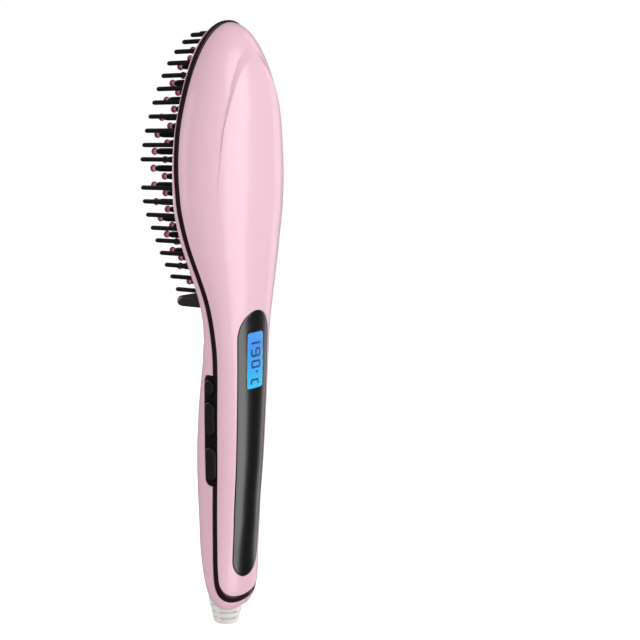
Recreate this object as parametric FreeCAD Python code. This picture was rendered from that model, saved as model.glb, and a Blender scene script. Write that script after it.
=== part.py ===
import FreeCAD, Part
import math
import os

# Heated hair straightening brush with a display. Millimetres.
# The brush stands upright: +Z runs from the grip to the head, -Y is the back with the
# display, +Y is the bristle side and the buttons are on -X. The origin is the grip centre.

Vector = FreeCAD.Vector
along_x = Vector(1, 0, 0)
along_y = Vector(0, 1, 0)
along_z = Vector(0, 0, 1)

# --- overall form ---------------------------------------------------------------------
head_top_z = 202.2
head_wide_z = 136.8
tail_end_z = -68.1
head_half_width = 35.8
neck_half_width = 20.9
grip_half_width = 17.5
tail_half_width = 16.0
dome_height = 20.8
wall = 2.2
panel_thickness = 1.4
trim_width = 2.5
fit_gap = 0.15
thread_gap = 0.02
push_gap = 0.05

# --- mouth of the head, bristles and tines --------------------------------------------
mouth_low_z = 69.0
crown_top_y = 5.2
crown_centre_z = 122.0
crown_radii = (134.0, 100.0, 220.0)
frame_low_z = 70.6
frame_back_y = -2.5
window_rim_gap = 6.3
window_low_z = 80.2
flange_rim_gap = 4.1
flange_low_z = 77.2
flange_thickness = 1.5
plate_sink = 0.8
bristle_rim_gap = 2.3
bristle_low_z = 81.4
bristle_pitch = 6.25
bristle_radius = 1.02
bristle_seat = 1.5
tine_radius = 1.45
tine_seat = 1.0
tine_row_gap = 3.72
tine_row_low = 5.0
tine_columns = 3
tine_least_reach = 7.5
tine_cone = 4.2
tine_short = 1.2
tip_radius = 1.62
tip_skirt = 1.5
guard_half_width = 11.0
guard_thickness = 4.6
guard_rise = 3.5
guard_corner = 6.0
guard_tip_y = 23.8

# --- heater ---------------------------------------------------------------------------
heater_half_width = 9.0
heater_thickness = 2.2
heater_length = 28.0
heater_count = 3
heater_low_z = 93.0
heater_step = 31.0
film_thickness = 0.3
clamp_thickness = 0.8
clamp_half_width = 6.5
clamp_foot = 9.0
shield_back_y = -9.6
shield_thickness = 0.6
shield_half_width = 16.5
shield_post_x = 14.0
shield_post_radius = 2.2
shield_pin_radius = 1.2

# --- display and control board --------------------------------------------------------
panel_top_z = 74.0
panel_low_z = -51.3
panel_top_radius = 12.2
panel_low_radius = 10.0
display_centre_z = 51.2
display_half_width = 6.25
display_half_height = 12.8
lens_back_y = -13.9
glass_border = 1.5
glass_thickness = 1.8
glass_front_y = -11.8
board_thickness = 1.6
board_back_y = -7.6
board_half_width = 11.0
board_low_z = -18.0
board_high_z = 68.5
frame_rim = 1.75

# --- buttons --------------------------------------------------------------------------
pad_low_z = -6.0
pad_high_z = 45.5
pad_front_y = 1.2
pad_inner_x = -14.2
pad_corner = 3.2
button_y = -2.65
button_half_width = 2.95
button_proud = 0.8
button_flange = 0.9
button_flange_thickness = 0.85
button_travel = 0.6
button_places = {"power_button": (39.9, 3.7), "plus_button": (25.5, 7.8), "minus_button": (4.5, 7.8)}
switch_size = 6.0
switch_height = 1.5
switch_front_x = -11.9
plunger_radius = 0.9
plunger_length = 1.5
stem_radius = 1.3

# --- cord swivel ----------------------------------------------------------------------
cord_y = 1.0
relief_radius = 8.4
relief_end_radius = 5.8
relief_end_z = tail_end_z - 7.3
relief_top_z = tail_end_z + 15.0
relief_bore_radius = 2.75
rotor_radius = 3.9
rotor_core_radius = 3.1
rotor_flange_radius = 5.8
rotor_flange_thickness = 1.4
housing_radius = 7.4
housing_low_z = relief_top_z + 7.0
housing_high_z = housing_low_z + 14.5
housing_wall = 1.3
housing_roof = 2.0
ring_thickness = 0.8
ring_height = 1.8
ring_low_z = housing_low_z + 4.6
ring_step = 3.6
pivot_radius = 1.45
running_gap = 0.05

# --- screws ---------------------------------------------------------------------------
shell_screw_places = [(0.0, -26.0, 4.0, -3.0), (-14.2, 61.0, -2.2, -5.0), (14.2, 61.0, -2.2, -5.0)]
shell_screw_radius = 1.3
shell_screw_head_radius = 2.4
shell_screw_head = 1.8
shell_boss_radius = 2.8
frame_screw_radius = 0.9
frame_screw_head_radius = 1.6
frame_screw_head = 1.1
frame_boss_radius = 1.7
frame_screw_rim_gap = 1.9
frame_screw_heights = (160.0, 100.0)
small_screw_radius = 1.0
small_screw_head_radius = 1.8
small_screw_head = 1.3
board_screw_places = [(-7.3, -9.0), (7.3, -9.0), (-7.3, 18.5), (7.3, 18.5)]
board_boss_radius = 2.1

# --- shape of the body along Z --------------------------------------------------------
tail_round_z = tail_end_z + 18.1
front_round_z = tail_end_z + 38.1
dome_round_z = head_wide_z + 14.2
shoulder = head_half_width - neck_half_width
width_stations = [
    (tail_end_z, tail_half_width),
    (tail_round_z, tail_half_width),
    (-23.7, 0.88 * tail_half_width + 0.12 * grip_half_width),
    (13.0, grip_half_width),
    (52.9, 0.5 * (grip_half_width + neck_half_width)),
    (67.0, neck_half_width),
    (78.4, neck_half_width + 0.16 * shoulder),
    (89.4, neck_half_width + 0.39 * shoulder),
    (100.3, neck_half_width + 0.63 * shoulder),
    (111.3, neck_half_width + 0.82 * shoulder),
    (122.2, neck_half_width + 0.955 * shoulder),
    (head_wide_z, head_half_width),
    (head_top_z, head_half_width),
]
seam_stations = [
    (tail_end_z, -4.0), (-23.7, -4.0), (5.5, -4.9), (27.4, -5.5), (52.9, -6.3), (73.0, -5.4),
    (84.0, -4.1), (96.0, -2.0), (106.0, -0.2), (118.0, 1.1), (137.0, 2.0), (151.0, 2.1),
    (170.0, 1.3), (191.0, 0.3), (head_top_z, -1.0), (head_top_z + 8.0, -2.2),
]
back_stations = [
    (tail_end_z, 6.2), (-45.6, 7.0), (-23.7, 8.6), (5.5, 9.6), (27.4, 9.8), (52.9, 9.4),
    (67.5, 0.48 * dome_height), (74.8, 0.53 * dome_height), (89.4, 0.665 * dome_height),
    (104.0, 0.82 * dome_height), (118.0, 0.94 * dome_height), (137.0, dome_height),
    (head_top_z, dome_height),
]
front_stations = [
    (tail_end_z, 15.6), (front_round_z, 16.3), (5.5, 18.4), (27.4, 17.4), (52.9, 14.2), (69.0, 10.7),
    (84.0, 9.9), (96.0, 9.5), (118.0, 9.1), (137.0, 8.3), (160.0, 8.6), (180.0, 10.4),
    (head_top_z, 13.0),
]
rim_stations = [
    (60.0, 14.0), (67.2, 12.0), (mouth_low_z, 3.6), (71.0, 1.9), (74.0, 1.4), (84.0, 2.5), (96.0, 3.6),
    (106.0, 4.7), (118.0, 5.1), (131.0, 4.6), (151.0, 3.9), (170.0, 3.0), (191.5, 2.3),
    (head_top_z, 0.5), (head_top_z + 8.0, -0.5),
]
tip_stations = [
    (70.0, 17.6), (78.0, 19.2), (87.0, 22.2), (98.0, 23.7), (108.0, 24.7), (122.0, 26.4),
    (138.0, 25.9), (150.0, 24.3), (162.0, 22.2), (174.0, 20.4), (184.0, 18.8), (193.0, 16.6),
    (head_top_z, 15.2),
]
back_power = 2.15
grip_front_power = 2.1
mouth_front_power = 2.6
section_points = 36


def smooth(stations, z):
    # Cubic curve through the stations, flat beyond both ends.
    if z <= stations[0][0]:
        return stations[0][1]
    if z >= stations[-1][0]:
        return stations[-1][1]
    slopes = [0.0]
    for before, here, after in zip(stations, stations[1:], stations[2:]):
        left = (here[1] - before[1]) / (here[0] - before[0])
        right = (after[1] - here[1]) / (after[0] - here[0])
        slopes.append(0.0 if left * right <= 0 else 2 * left * right / (left + right))
    slopes.append(0.0)
    k = max(i for i in range(len(stations) - 1) if stations[i][0] <= z)
    low, high = stations[k], stations[k + 1]
    span = high[0] - low[0]
    t = (z - low[0]) / span
    blend = t * t * (3 - 2 * t)
    return (low[1] * (1 - blend) + high[1] * blend + span * slopes[k] * t * (1 - t) ** 2
            - span * slopes[k + 1] * t * t * (1 - t))


def rounding(z, start, end, bulge, power):
    # Falls from 1 at start to 0 at end, as the rounded end of the body does.
    u = (z - start) / (end - start)
    if u <= 0:
        return 1.0
    return max(1.0 - min(u, 1.0) ** bulge, 0.0) ** (1.0 / power)


def seam_y(z):
    return smooth(seam_stations, z)


def rim_y(z):
    return smooth(rim_stations, z)


def half_width(z, inset=0.0):
    width = smooth(width_stations, z) - inset
    width *= rounding(z, head_wide_z, head_top_z - inset, 1.85, 2.0)
    return width * rounding(z, tail_round_z, tail_end_z + inset, 3.3, 2.5)


def back_depth(z, inset=0.0):
    depth = smooth(back_stations, z) - inset
    depth *= rounding(z, dome_round_z, head_top_z - inset, 2.0, 2.0)
    return depth * rounding(z, tail_round_z, tail_end_z + inset, 3.3, 2.5)


def front_depth(z, inset=0.0):
    depth = smooth(front_stations, z) - inset
    depth *= rounding(z, dome_round_z, head_top_z - inset, 2.0, 2.0)
    return depth * rounding(z, front_round_z, tail_end_z + inset, 2.2, 2.0)


def front_power(z):
    share = min(max((z - 50.0) / 40.0, 0.0), 1.0)
    return grip_front_power + (mouth_front_power - grip_front_power) * share


def body_section(z, inset):
    points = []
    for k in range(section_points):
        angle = 2 * math.pi * k / section_points
        across, deep = math.cos(angle), math.sin(angle)
        power = 2.0 / (back_power if deep < 0 else front_power(z))
        depth = back_depth(z, inset) if deep < 0 else front_depth(z, inset)
        x = half_width(z, inset) * math.copysign(abs(across) ** power, across)
        y = seam_y(z) + depth * math.copysign(abs(deep) ** power, deep)
        points.append(Vector(x, y, z))
    curve = Part.BSplineCurve()
    curve.interpolate(points, PeriodicFlag=True)
    return Part.Wire([curve.toShape()])


def body_levels(inset):
    low, high = tail_end_z + inset, head_top_z - inset
    tail = [front_round_z + (low - front_round_z) * math.sin(math.radians(angle))
            for angle in (87, 82, 74, 64, 52, 38, 22, 0)]
    grip_count = 11
    grip = [front_round_z + (head_wide_z - front_round_z) * k / (grip_count + 1)
            for k in range(1, grip_count + 1)]
    head = [head_wide_z + (high - head_wide_z) * math.sin(math.radians(angle))
            for angle in (0, 15, 30, 44, 56, 66, 75, 82, 87)]
    return tail + grip + head


def body_solid(inset):
    # The whole closed form of the body, made smaller all round by inset.
    return Part.makeLoft([body_section(z, inset) for z in body_levels(inset)], True, False)


def spline_edge(points):
    curve = Part.BSplineCurve()
    curve.interpolate([Vector(0, y, z) for y, z in points])
    return curve.toShape()


def prism_x(edges_or_points, low_x, high_x):
    # A profile in the YZ plane, carried along X.
    if isinstance(edges_or_points[0], tuple):
        corners = [Vector(0, y, z) for y, z in edges_or_points]
        wire = Part.makePolygon(corners + corners[:1])
    else:
        wire = Part.Wire(edges_or_points)
    face = Part.Face(wire)
    face.translate(Vector(low_x, 0, 0))
    return face.extrude(Vector(high_x - low_x, 0, 0))


def box(low, high):
    size = [high[i] - low[i] for i in range(3)]
    return Part.makeBox(size[0], size[1], size[2], Vector(*low))


def rod(radius, start, end):
    start, end = Vector(*start), Vector(*end)
    return Part.makeCylinder(radius, (end - start).Length, start, end - start)


def group(solids):
    return Part.makeCompound(solids)


def turned(profile, centre, axis):
    # Revolves (radius, distance along the axis) points about a line through centre.
    side = along_x if axis != along_x else along_z
    points = [centre + side * radius + axis * reach for radius, reach in profile]
    face = Part.Face(Part.makePolygon(points + points[:1]))
    return face.revolve(centre, axis, 360)


# --- the seam between the shells ------------------------------------------------------
reach = 60.0
seam_line = [(seam_y(z), z) for z in [head_top_z + 8.0 - 7.0 * k for k in range(35)] if z > -35.0]
seam_line += [(-4.1, tail_end_z + 24.0), (-4.7, tail_end_z + 16.2), (-6.2, tail_end_z + 11.6),
              (-8.3, tail_end_z + 7.8), (-10.8, tail_end_z + 4.8), (-15.0, tail_end_z + 1.6),
              (-21.0, tail_end_z - 1.0)]


def seam_offset(distance):
    # The seam line moved sideways: positive distances go towards the back.
    moved = []
    for k, (y, z) in enumerate(seam_line):
        before = seam_line[max(k - 1, 0)]
        after = seam_line[min(k + 1, len(seam_line) - 1)]
        run_y, run_z = after[0] - before[0], after[1] - before[1]
        length = math.hypot(run_y, run_z)
        moved.append((y + distance * run_z / length, z - distance * run_y / length))
    return moved


def behind_seam(distance):
    line = seam_offset(distance)
    edge = spline_edge(line)
    start, end = line[0], line[-1]
    corners = [end, (-reach, end[1]), (-reach, start[1]), start]
    sides = [Part.LineSegment(Vector(0, *a), Vector(0, *b)).toShape() for a, b in zip(corners, corners[1:])]
    return prism_x([edge] + sides, -reach, reach)


outer = body_solid(0.0)
inner = body_solid(wall)
skin = outer.cut(inner)
behind_back_edge = behind_seam(trim_width / 2)
behind_front_edge = behind_seam(-trim_width / 2)

mouth_line = [(rim_y(z), z) for z in [67.2 + 0.9 * k for k in range(6)]]
mouth_line += [(rim_y(z), z) for z in [73.5 + 6.0 * k for k in range(23)]]
mouth_end = mouth_line[-1]
mouth_start = mouth_line[0]
mouth_corners = [mouth_end, (reach, mouth_end[1]), (reach, mouth_start[1]), mouth_start]
mouth_sides = [Part.LineSegment(Vector(0, *a), Vector(0, *b)).toShape()
               for a, b in zip(mouth_corners, mouth_corners[1:])]
mouth_cut = prism_x([spline_edge(mouth_line)] + mouth_sides, -reach, reach)


# --- outlines seen from the front -----------------------------------------------------
def slab(face_wire, low_y, high_y):
    face = Part.Face(face_wire)
    face.translate(Vector(0, low_y, 0))
    return face.extrude(Vector(0, high_y - low_y, 0))


def crown(drop):
    # Solid whose +Y side is the crowned face of the bristle field, lowered by drop.
    ball = Part.makeSphere(1.0)
    stretch = FreeCAD.Matrix()
    stretch.scale(*crown_radii)
    ball = ball.transformGeometry(stretch)
    ball.translate(Vector(0, crown_top_y - drop - crown_radii[1], crown_centre_z))
    return ball


def crown_y(x, z, drop=0.0):
    a, b, c = crown_radii
    return crown_top_y - drop - b + b * math.sqrt(1 - (x / a) ** 2 - ((z - crown_centre_z) / c) ** 2)


def mouth_half_width(z):
    # Half the width between the inner faces of the front shell at its rim.
    depth = front_depth(z, wall)
    rise = (rim_y(z) - seam_y(z)) / depth if depth > 0 else 1.0
    power = front_power(z)
    return half_width(z, wall) * max(1.0 - min(rise, 1.0) ** power, 0.0) ** (1.0 / power)


def mouth_side():
    # The -X side of the mouth, from the neck to its top.
    high_z = head_top_z - wall
    while mouth_half_width(high_z) == 0:
        high_z -= 0.02
    steps = 240
    rise = high_z - frame_low_z
    heights = [frame_low_z + rise * math.sin(0.5 * math.pi * k / steps) for k in range(steps)]
    return [(-mouth_half_width(z), z) for z in heights] + [(0.0, high_z)]


mouth_edge = mouth_side()
mouth_top_z = mouth_edge[-1][1]


def inside_rim(gap, low_z):
    # The -X side of a line so far inside the mouth's edge, from low_z up to its top.
    line = []
    for before, after in zip(mouth_edge, mouth_edge[1:]):
        run_x, run_z = after[0] - before[0], after[1] - before[1]
        length = math.hypot(run_x, run_z)
        x = 0.5 * (before[0] + after[0]) + gap * run_z / length
        z = 0.5 * (before[1] + after[1]) - gap * run_x / length
        if z >= low_z and x < 0:
            line.append((x, z))
    return line + [(0.0, mouth_top_z - gap)]


def oval_half_width(line, z):
    # Half the width at z of the oval whose side is that line and whose low end is rounded.
    low_z = line[0][1]
    for before, after in zip(line, line[1:]):
        if before[1] <= z <= after[1] and after[1] > before[1]:
            share = (z - before[1]) / (after[1] - before[1])
            x = before[0] + share * (after[0] - before[0])
            return -x * rounding(z, low_z + 16.0, low_z, 2.3, 2.0)
    return 0.0


def head_oval(gap, low_z):
    line = inside_rim(gap, low_z)
    low_z, high_z = line[0][1], line[-1][1]
    side = []
    steps = 15
    for k in range(steps):
        z = 0.5 * (low_z + high_z) - 0.5 * (high_z - low_z) * math.cos(math.pi * (k + 0.5) / steps)
        side.append((oval_half_width(line, z), z))
    points = [Vector(0, 0, low_z)] + [Vector(x, 0, z) for x, z in side]
    points += [Vector(0, 0, high_z)] + [Vector(-x, 0, z) for x, z in reversed(side)]
    curve = Part.BSplineCurve()
    curve.interpolate(points, PeriodicFlag=True)
    return Part.Wire([curve.toShape()])


def over_the_top(line):
    return line + [(-x, z) for x, z in reversed(line[:-1])]


def walk_bristles():
    # Places along the bristle line at one pitch, without the pair at the widest part of the head.
    line = over_the_top(inside_rim(bristle_rim_gap, bristle_low_z))
    lengths = [0.0]
    for a, b in zip(line, line[1:]):
        lengths.append(lengths[-1] + math.dist(a, b))
    count = 2 * round(lengths[-1] / bristle_pitch / 2)
    places = []
    for k in range(count + 1):
        goal = lengths[-1] * k / count
        i = min(max(j for j in range(len(lengths)) if lengths[j] <= goal + 1e-9), len(line) - 2)
        share = (goal - lengths[i]) / (lengths[i + 1] - lengths[i])
        places.append(tuple(line[i][axis] + share * (line[i + 1][axis] - line[i][axis]) for axis in (0, 1)))
    widest = min(abs(z - head_wide_z) for x, z in places)
    return [(x, z) for x, z in places if abs(z - head_wide_z) > widest + 0.01]


bristle_places = walk_bristles()


window_line = inside_rim(window_rim_gap, window_low_z)


def row_reach(z):
    # How far out a tine can stand in this row with its whole foot inside the window.
    room = tine_radius + 0.5
    turns = [0.25 * math.pi * k for k in range(8)]
    around = [(room * math.cos(turn), room * math.sin(turn)) for turn in turns]
    x = oval_half_width(window_line, z)
    while x > 0 and any(x + dx > oval_half_width(window_line, z + dz) for dx, dz in around):
        x -= 0.05
    return x


def tine_rows():
    # Rows that fan out to the window's edge, with every other row half a column over.
    # A row too short for its columns keeps one or two tines in the middle.
    places = []
    rows = math.ceil((mouth_top_z - window_low_z) / tine_row_gap)
    for row in range(rows):
        z = window_low_z + tine_row_low + tine_row_gap * row
        reach_x = row_reach(z)
        outer = tine_columns if reach_x > tine_least_reach else 1
        if reach_x > tip_radius:
            columns = range(-outer + row % 2, outer + 1, 2)
            places += [(reach_x * column / outer, z) for column in columns]
    return places


tine_places = tine_rows()


def frame_screw_spots():
    # Each screw stands midway between two bristles, nearest to its wanted height.
    spots = []
    line = over_the_top(inside_rim(frame_screw_rim_gap, bristle_low_z))
    for height in frame_screw_heights:
        for side in (-1, 1):
            pairs = [(a, b) for a, b in zip(bristle_places, bristle_places[1:])
                     if min(a[0] * side, b[0] * side) > 0]
            a, b = min(pairs, key=lambda pair: abs(0.5 * (pair[0][1] + pair[1][1]) - height))
            middle = (0.5 * (a[0] + b[0]), 0.5 * (a[1] + b[1]))
            spots.append(min(line, key=lambda point: math.dist(point, middle)))
    return spots


frame_screw_places = frame_screw_spots()


# --- shells and trim ------------------------------------------------------------------
def panel_outline(grow):
    # Two round ends joined by straight sides that touch both.
    top_r, low_r = panel_top_radius + grow, panel_low_radius + grow
    top_z, low_z = panel_top_z + grow - top_r, panel_low_z - grow + low_r
    lean = math.asin((top_r - low_r) / (top_z - low_z))
    side_x, side_z = math.cos(lean), -math.sin(lean)
    top_right = Vector(top_r * side_x, 0, top_z + top_r * side_z)
    low_right = Vector(low_r * side_x, 0, low_z + low_r * side_z)
    top_left = Vector(-top_right.x, 0, top_right.z)
    low_left = Vector(-low_right.x, 0, low_right.z)
    edges = [
        Part.Arc(top_right, Vector(0, 0, top_z + top_r), top_left).toShape(),
        Part.LineSegment(top_left, low_left).toShape(),
        Part.Arc(low_left, Vector(0, 0, low_z - low_r), low_right).toShape(),
        Part.LineSegment(low_right, top_right).toShape(),
    ]
    return Part.Wire(edges)


def display_prism(grow, low_y, high_y):
    half_x = display_half_width + grow
    half_z = display_half_height + grow
    prism = box((-half_x, low_y, display_centre_z - half_z), (half_x, high_y, display_centre_z + half_z))
    corners = [edge for edge in prism.Edges if abs(edge.tangentAt(edge.FirstParameter).y) > 0.9]
    return prism.makeFillet(1.2 + grow, corners)


panel_floor = body_solid(panel_thickness)
panel_zone = slab(panel_outline(0.0), -reach, -6.0)
window_zone = display_prism(0.0, -reach, lens_back_y)
display_opening = display_prism(0.0, -reach, glass_front_y)


def make_back_panel():
    return outer.cut(panel_floor).common(panel_zone).cut(display_opening)


def make_display_window():
    return outer.common(window_zone)


def shell_bosses(inside):
    solids = []
    for x, z, head_y, joint_y in shell_screw_places:
        solids.append(rod(shell_boss_radius, (x, -30, z), (x, joint_y, z)))
    for x, z in board_screw_places:
        solids.append(rod(board_boss_radius, (x, -30, z), (x, board_back_y, z)))
    for x, z in frame_screw_places:
        solids.append(rod(frame_boss_radius, (x, -30, z), (x, frame_back_y, z)))
    for side in (-1, 1):
        x = side * shield_post_x
        solids.append(rod(shield_post_radius, (x, -30, crown_centre_z), (x, shield_back_y, crown_centre_z)))
        pin_y = shield_back_y + shield_thickness + 0.6
        solids.append(rod(shield_pin_radius, (x, -30, crown_centre_z), (x, pin_y, crown_centre_z)))
    return [solid.common(inside) for solid in solids]


def shell_screw_tools():
    tools = []
    for x, z, head_y, joint_y in shell_screw_places:
        low_y = screw_tip_y(joint_y) - 0.3
        tools.append(rod(shell_screw_radius + thread_gap, (x, low_y, z), (x, joint_y + 1, z)))
    for x, z in board_screw_places:
        low_y = board_back_y - 3.0
        tools.append(rod(small_screw_radius + thread_gap, (x, low_y - 0.2, z), (x, board_back_y + 1, z)))
    for x, z in frame_screw_places:
        low_y = frame_back_y - 4.0
        tools.append(rod(frame_screw_radius + thread_gap, (x, low_y - 0.2, z), (x, frame_back_y + 1, z)))
    return tools


def screw_tip_y(joint_y):
    return joint_y - 4.2


def make_back_shell():
    shell = skin.common(behind_back_edge)
    shell = shell.cut(outer.cut(panel_floor).common(panel_zone)).cut(display_opening)
    inside = body_solid(wall - 0.4)
    shell = shell.fuse(shell_bosses(inside)).cut(shell_screw_tools())
    return shell


def make_front_shell():
    shell = skin.cut(behind_front_edge).cut(mouth_cut).cut(pad_zone).cut(button_pocket)
    inside = body_solid(wall - 0.4)
    additions = []
    for x, z, head_y, joint_y in shell_screw_places:
        additions.append(rod(shell_boss_radius + 0.4, (x, joint_y, z), (x, 30, z)).common(inside))
    rib = box((-9.15, 0.0, 2.0), (-7.9, 20.0, 38.0)).common(inside)
    cradle_y = cord_y + housing_radius - 1.6
    cradle = box((-6.0, cradle_y, housing_low_z + 4.0), (6.0, 20.0, housing_high_z - 2.0))
    cradle = cradle.common(inside).cut(rod(housing_radius + push_gap, (0, cord_y, -90), (0, cord_y, 0)))
    additions += [rib, cradle]
    shell = shell.fuse(additions)
    for x, z, head_y, joint_y in shell_screw_places:
        shell = shell.cut(rod(shell_screw_radius + 0.2, (x, joint_y - 1, z), (x, head_y + 1, z)))
        shell = shell.cut(rod(shell_screw_head_radius + fit_gap, (x, head_y, z), (x, 30, z)))
    outlet = rod(relief_radius + fit_gap, (0, cord_y, tail_end_z - 20), (0, cord_y, relief_top_z + 0.6))
    return shell.cut(outlet)


def make_trim_band():
    band = skin.common(behind_front_edge).cut(behind_back_edge)
    return band.cut(pad_zone).cut(button_pocket)


# --- buttons --------------------------------------------------------------------------
def pad_prism():
    slab_box = box((-reach, -20.0, pad_low_z), (pad_inner_x, pad_front_y, pad_high_z))
    corners = [edge for edge in slab_box.Edges
               if abs(edge.tangentAt(edge.FirstParameter).x) > 0.9 and edge.CenterOfMass.y > 0]
    return slab_box.makeFillet(pad_corner, corners)


pad_zone = pad_prism().cut(behind_back_edge)
button_pocket = box((pad_inner_x, button_y - button_half_width - button_flange - 0.5, pad_low_z),
                    (pad_inner_x + 4.0, button_y + button_half_width + button_flange + 0.4, pad_high_z))


def stadium(half_length, grow, centre_z, low_x, high_x):
    radius = button_half_width + grow
    straight = half_length - button_half_width
    low_z, high_z = centre_z - straight, centre_z + straight
    body = box((low_x, button_y - radius, low_z), (high_x, button_y + radius, high_z))
    ends = [rod(radius, (low_x, button_y, z), (high_x, button_y, z)) for z in (low_z, high_z)]
    return body.fuse(ends).removeSplitter()


def make_button_bezel():
    bezel = outer.common(pad_zone)
    for centre_z, half_length in button_places.values():
        bezel = bezel.cut(stadium(half_length, fit_gap, centre_z, -reach, 0.0))
    return bezel


button_skin = body_solid(-button_proud)
flange_front_x = pad_inner_x + push_gap


def make_button(name):
    centre_z, half_length = button_places[name]
    cap = stadium(half_length, 0.0, centre_z, -reach, flange_front_x + 0.1).common(button_skin)
    flange_back_x = flange_front_x + button_flange_thickness
    flange = stadium(half_length, button_flange, centre_z, flange_front_x, flange_back_x)
    stem_x = switch_front_x - 0.7
    stem = rod(stem_radius, (flange_back_x - 0.1, button_y, centre_z), (stem_x, button_y, centre_z))
    tip_x = switch_front_x + plunger_length - button_travel - 0.2
    plunger = rod(plunger_radius, (flange_back_x, button_y, centre_z), (tip_x, button_y, centre_z))
    return cap.fuse([flange, stem, plunger])


def make_tact_switches():
    switches = []
    for centre_z, half_length in button_places.values():
        half = switch_size / 2
        body = box((switch_front_x, button_y - half, centre_z - half),
                   (switch_front_x + switch_height, button_y + half, centre_z + half))
        bore = rod(plunger_radius + running_gap, (switch_front_x - 1, button_y, centre_z),
                   (switch_front_x + switch_height - 0.1, button_y, centre_z))
        switches.append(body.cut(bore))
    return group(switches)


def make_button_board():
    front_x = switch_front_x + switch_height
    return box((front_x, board_back_y + board_thickness, -4.0), (front_x + 1.2, 2.2, 45.5))


# --- display --------------------------------------------------------------------------
glass_half_width = display_half_width + glass_border
glass_half_height = display_half_height + glass_border
glass_back_y = glass_front_y + glass_thickness


def display_box(grow, low_y, high_y):
    half_x, half_z = glass_half_width + grow, glass_half_height + grow
    return box((-half_x, low_y, display_centre_z - half_z), (half_x, high_y, display_centre_z + half_z))


def make_lcd_glass():
    # The cell stands up into the window's opening, on a wider foot that the frame holds.
    cell = display_prism(-fit_gap, lens_back_y + running_gap, glass_back_y)
    return display_box(0.0, glass_front_y, glass_back_y).fuse(cell).removeSplitter()


def make_lcd_backlight():
    return display_box(0.0, glass_back_y, board_back_y)


def make_lcd_frame():
    return display_box(frame_rim, glass_front_y, board_back_y).cut(
        display_box(push_gap, glass_front_y - 1, board_back_y + 1))


# --- control board --------------------------------------------------------------------
board_front_y = board_back_y + board_thickness


def make_control_board():
    half = board_half_width
    board = box((-half, board_back_y, board_low_z), (half, board_front_y, board_high_z))
    hole_radius = small_screw_radius + 0.15
    for x, z in board_screw_places:
        board = board.cut(rod(hole_radius, (x, board_back_y - 1, z), (x, board_front_y + 1, z)))
    return board


def make_board_screws():
    screws = []
    for x, z in board_screw_places:
        head = rod(small_screw_head_radius, (x, board_front_y, z), (x, board_front_y + small_screw_head, z))
        shank = rod(small_screw_radius, (x, board_back_y - 3.0, z), (x, board_front_y + 0.2, z))
        slot = box((x - 1.2, board_front_y + 0.7, z - 0.25), (x + 1.2, board_front_y + 3, z + 0.25))
        screws.append(head.fuse(shank).cut(slot))
    return group(screws)


def make_film_capacitor():
    return box((-6.5, board_front_y, 2.0), (4.0, board_front_y + 8.5, 16.0))


def make_smoothing_capacitor():
    can = rod(3.0, (7.6, board_front_y, 8.0), (7.6, board_front_y + 10.0, 8.0))
    groove = rod(3.5, (7.6, board_front_y + 1.6, 8.0), (7.6, board_front_y + 2.2, 8.0))
    core = rod(2.7, (7.6, board_front_y, 8.0), (7.6, board_front_y + 10.0, 8.0))
    return can.cut(groove.cut(core))


def make_triac():
    case = box((-5.0, board_front_y, 20.0), (5.0, board_front_y + 4.4, 29.0))
    tab = box((-5.0, board_front_y, 29.0), (5.0, board_front_y + 1.3, 35.5))
    return case.fuse(tab).cut(rod(1.6, (0, board_front_y - 1, 32.6), (0, board_front_y + 3, 32.6)))


def make_controller_chip():
    return box((-4.5, board_front_y, 42.0), (4.5, board_front_y + 1.5, 51.0))


def make_board_fuse():
    return rod(2.3, (0.5, board_front_y + 2.3, -13.0), (0.5, board_front_y + 2.3, -1.0))


# --- bristle frame, bristles and tines -----------------------------------------------
window_wire = head_oval(window_rim_gap, window_low_z)
flange_back_y = frame_back_y - flange_thickness


def guard_tongue(grow):
    low_z = frame_low_z + guard_rise
    half_x, high_z = guard_half_width + grow, low_z + guard_thickness
    return box((-half_x, crown_y(0, low_z) - 1.6, low_z - grow), (half_x, guard_tip_y, high_z + grow))


def make_finger_guard():
    tongue = guard_tongue(0.0)
    corners = [edge for edge in tongue.Edges
               if abs(edge.tangentAt(edge.FirstParameter).z) > 0.9 and edge.CenterOfMass.y > 5]
    tongue = tongue.makeFillet(guard_corner, corners)
    rim = [edge for edge in tongue.Edges if edge.CenterOfMass.y > guard_tip_y - guard_corner]
    return tongue.makeFillet(0.5 * guard_thickness - 0.2, rim)


def make_bristle_frame():
    body = body_solid(wall + fit_gap).common(crown(0.0))
    keep = box((-reach, frame_back_y, frame_low_z), (reach, reach, head_top_z + 5))
    frame = body.common(keep).cut(slab(window_wire, -reach, reach))
    tools = [guard_tongue(thread_gap)]
    for x, z in bristle_places:
        seat_y = crown_y(x, z) - bristle_seat
        tools.append(rod(bristle_radius + thread_gap, (x, seat_y, z), (x, reach, z)))
    for x, z in frame_screw_places:
        tools.append(rod(frame_screw_radius + 0.15, (x, -10, z), (x, 10, z)))
        seat_y = crown_y(x, z) - frame_screw_head
        tools.append(rod(frame_screw_head_radius + fit_gap, (x, seat_y, z), (x, reach, z)))
    for x, z in plate_screw_places:
        tools.append(rod(small_shank + thread_gap, (x, -10, z), (x, frame_back_y + 2.6, z)))
    return frame.cut(tools)


def make_guard_bristles():
    bristles = []
    for x, z in bristle_places:
        tip_y = smooth(tip_stations, z)
        base_y = crown_y(x, z) - bristle_seat
        stem = rod(bristle_radius, (x, base_y, z), (x, tip_y - bristle_radius, z))
        ball = Part.makeSphere(bristle_radius, Vector(x, tip_y - bristle_radius, z))
        bristles.append(stem.fuse(ball))
    return group(bristles)


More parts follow.
